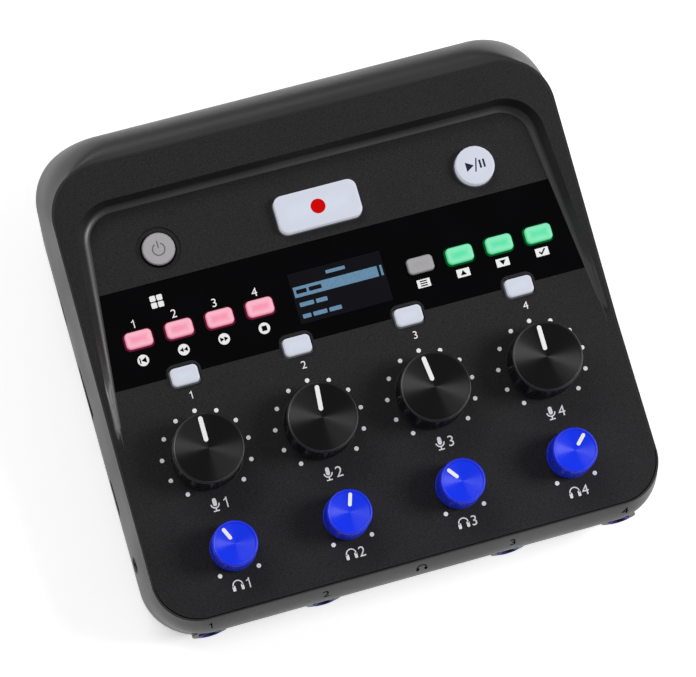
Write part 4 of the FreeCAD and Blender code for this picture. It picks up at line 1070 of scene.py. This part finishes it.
to_start = [disc(0, 0, 1.5), bar(-0.95, -0.75, -0.62, 0.75), triangle(0.22, 0, 0.8, "left")]
backward = [disc(0, 0, 1.5), triangle(-0.57, 0, 0.62, "left"), triangle(0.54, 0, 0.62, "left")]
forward = [disc(0, 0, 1.5), triangle(-0.54, 0, 0.62, "right"), triangle(0.57, 0, 0.62, "right")]
halt = [disc(0, 0, 1.5), bar(-0.68, -0.68, 0.68, 0.68)]
plate = bar(-1.75, -1.1, 1.75, 1.1, 0.15)
menu_lines = [plate] + [bar(-0.95, y - 0.16, 0.95, y + 0.16) for y in (-0.6, 0.0, 0.6)]
step_up = [plate, triangle(0, 0, 0.85, "up")]
step_down = [plate, triangle(0, 0, 0.85, "down")]
tick = [plate, [(-0.95, 0.0), (-0.25, -0.82), (1.05, 0.62), (0.72, 0.88), (-0.25, -0.18), (-0.65, 0.28)]]
strip_marks = []
for k, icon in enumerate((to_start, backward, forward, halt)):
    strip_marks.append(flat(icon, on_panel(-21.9 - 10.75 * (3 - k), 27.5)))
    strip_marks.append(numeral(str(k + 1), 2.2, on_panel(-21.9 - 10.75 * (3 - k), 37.3)))
for k, icon in enumerate((menu_lines, step_up, step_down, tick)):
    strip_marks.append(flat(icon, on_panel(21.3 + 10.75 * k, 28.2)))
four = [bar(x, y, x + 1.5, y + 1.5, 0.3) for x in (-48.4, -46.6) for y in (39.8, 41.6)]
strip_marks.append(flat(four, on_panel(0, 0)))
piece("strip_print", gathered(strip_marks), [white_ink], "housing")

# %% [markdown]
# ## Display
# The display shows a plain list: a title, one chosen line and two more, with bars in place of
# words, and a scroll mark. Real dots are 0.2 mm and closer than a pixel of the render, so lines are
# drawn as bars.

# %% Display picture
display_marks = [bar(-2.6, 37.2, 2.6, 38.1, 0.2), bar(11.3, 33.0, 11.9, 35.8), bar(-12.0, 33.0, 10.6, 35.8)]
for start, end, row in ((-11.4, -8.6, 34.0), (-8.0, -4.6, 34.0), (-11.4, -7.6, 30.5), (-7.0, -4.0, 30.5),
                        (-11.4, -9.2, 27.4), (-8.6, -4.9, 27.4), (-4.3, -1.0, 27.4)):
    display_marks.append(bar(start, row - 0.1, end, row + 1.0, 0.2))
piece("display_picture", flat(display_marks, on_panel(0, 0, -0.15), 0.04), [display_light], "housing")

# %% [markdown]
# ## Marks on the buttons
# The record button has a red dot, the play button its usual sign, and the power button its own.

# %% Button signs
piece("record_dot", flat([disc(0, 0, 1.95, 48)], on_panel(0, 54.5, 2.3)), [red_ink], "record_button")
play_sign = [triangle(-1.5, 0, 1.25, "right"), stroke(-0.25, -1.65, 0.65, 1.65, 0.34),
             bar(1.1, -1.1, 1.62, 1.1), bar(2.12, -1.1, 2.64, 1.1)]
piece("play_sign", flat(play_sign, on_panel(42.7, 54.5, 2.3)), [dark_ink], "play_button")
power_sign = [band(0, -0.15, 1.6, 118, 422, 0.3), stroke(0, 0.3, 0, 2.0, 0.3)]
piece("power_sign", flat(power_sign, on_panel(-42.7, 54.5, 0.9)), [grey_ink], "power_button")

# %% [markdown]
# ## The finished size
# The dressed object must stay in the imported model's box, so both boxes are kept and compared.

# %% Finish
dressed_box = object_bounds()
for corner, (was, now) in enumerate(zip(cad_box, dressed_box)):
    print("low" if corner == 0 else "high", [round(1000 * (b - a), 3) for a, b in zip(was, now)], "mm apart")

bpy.context.scene.view_settings.view_transform = "Standard"
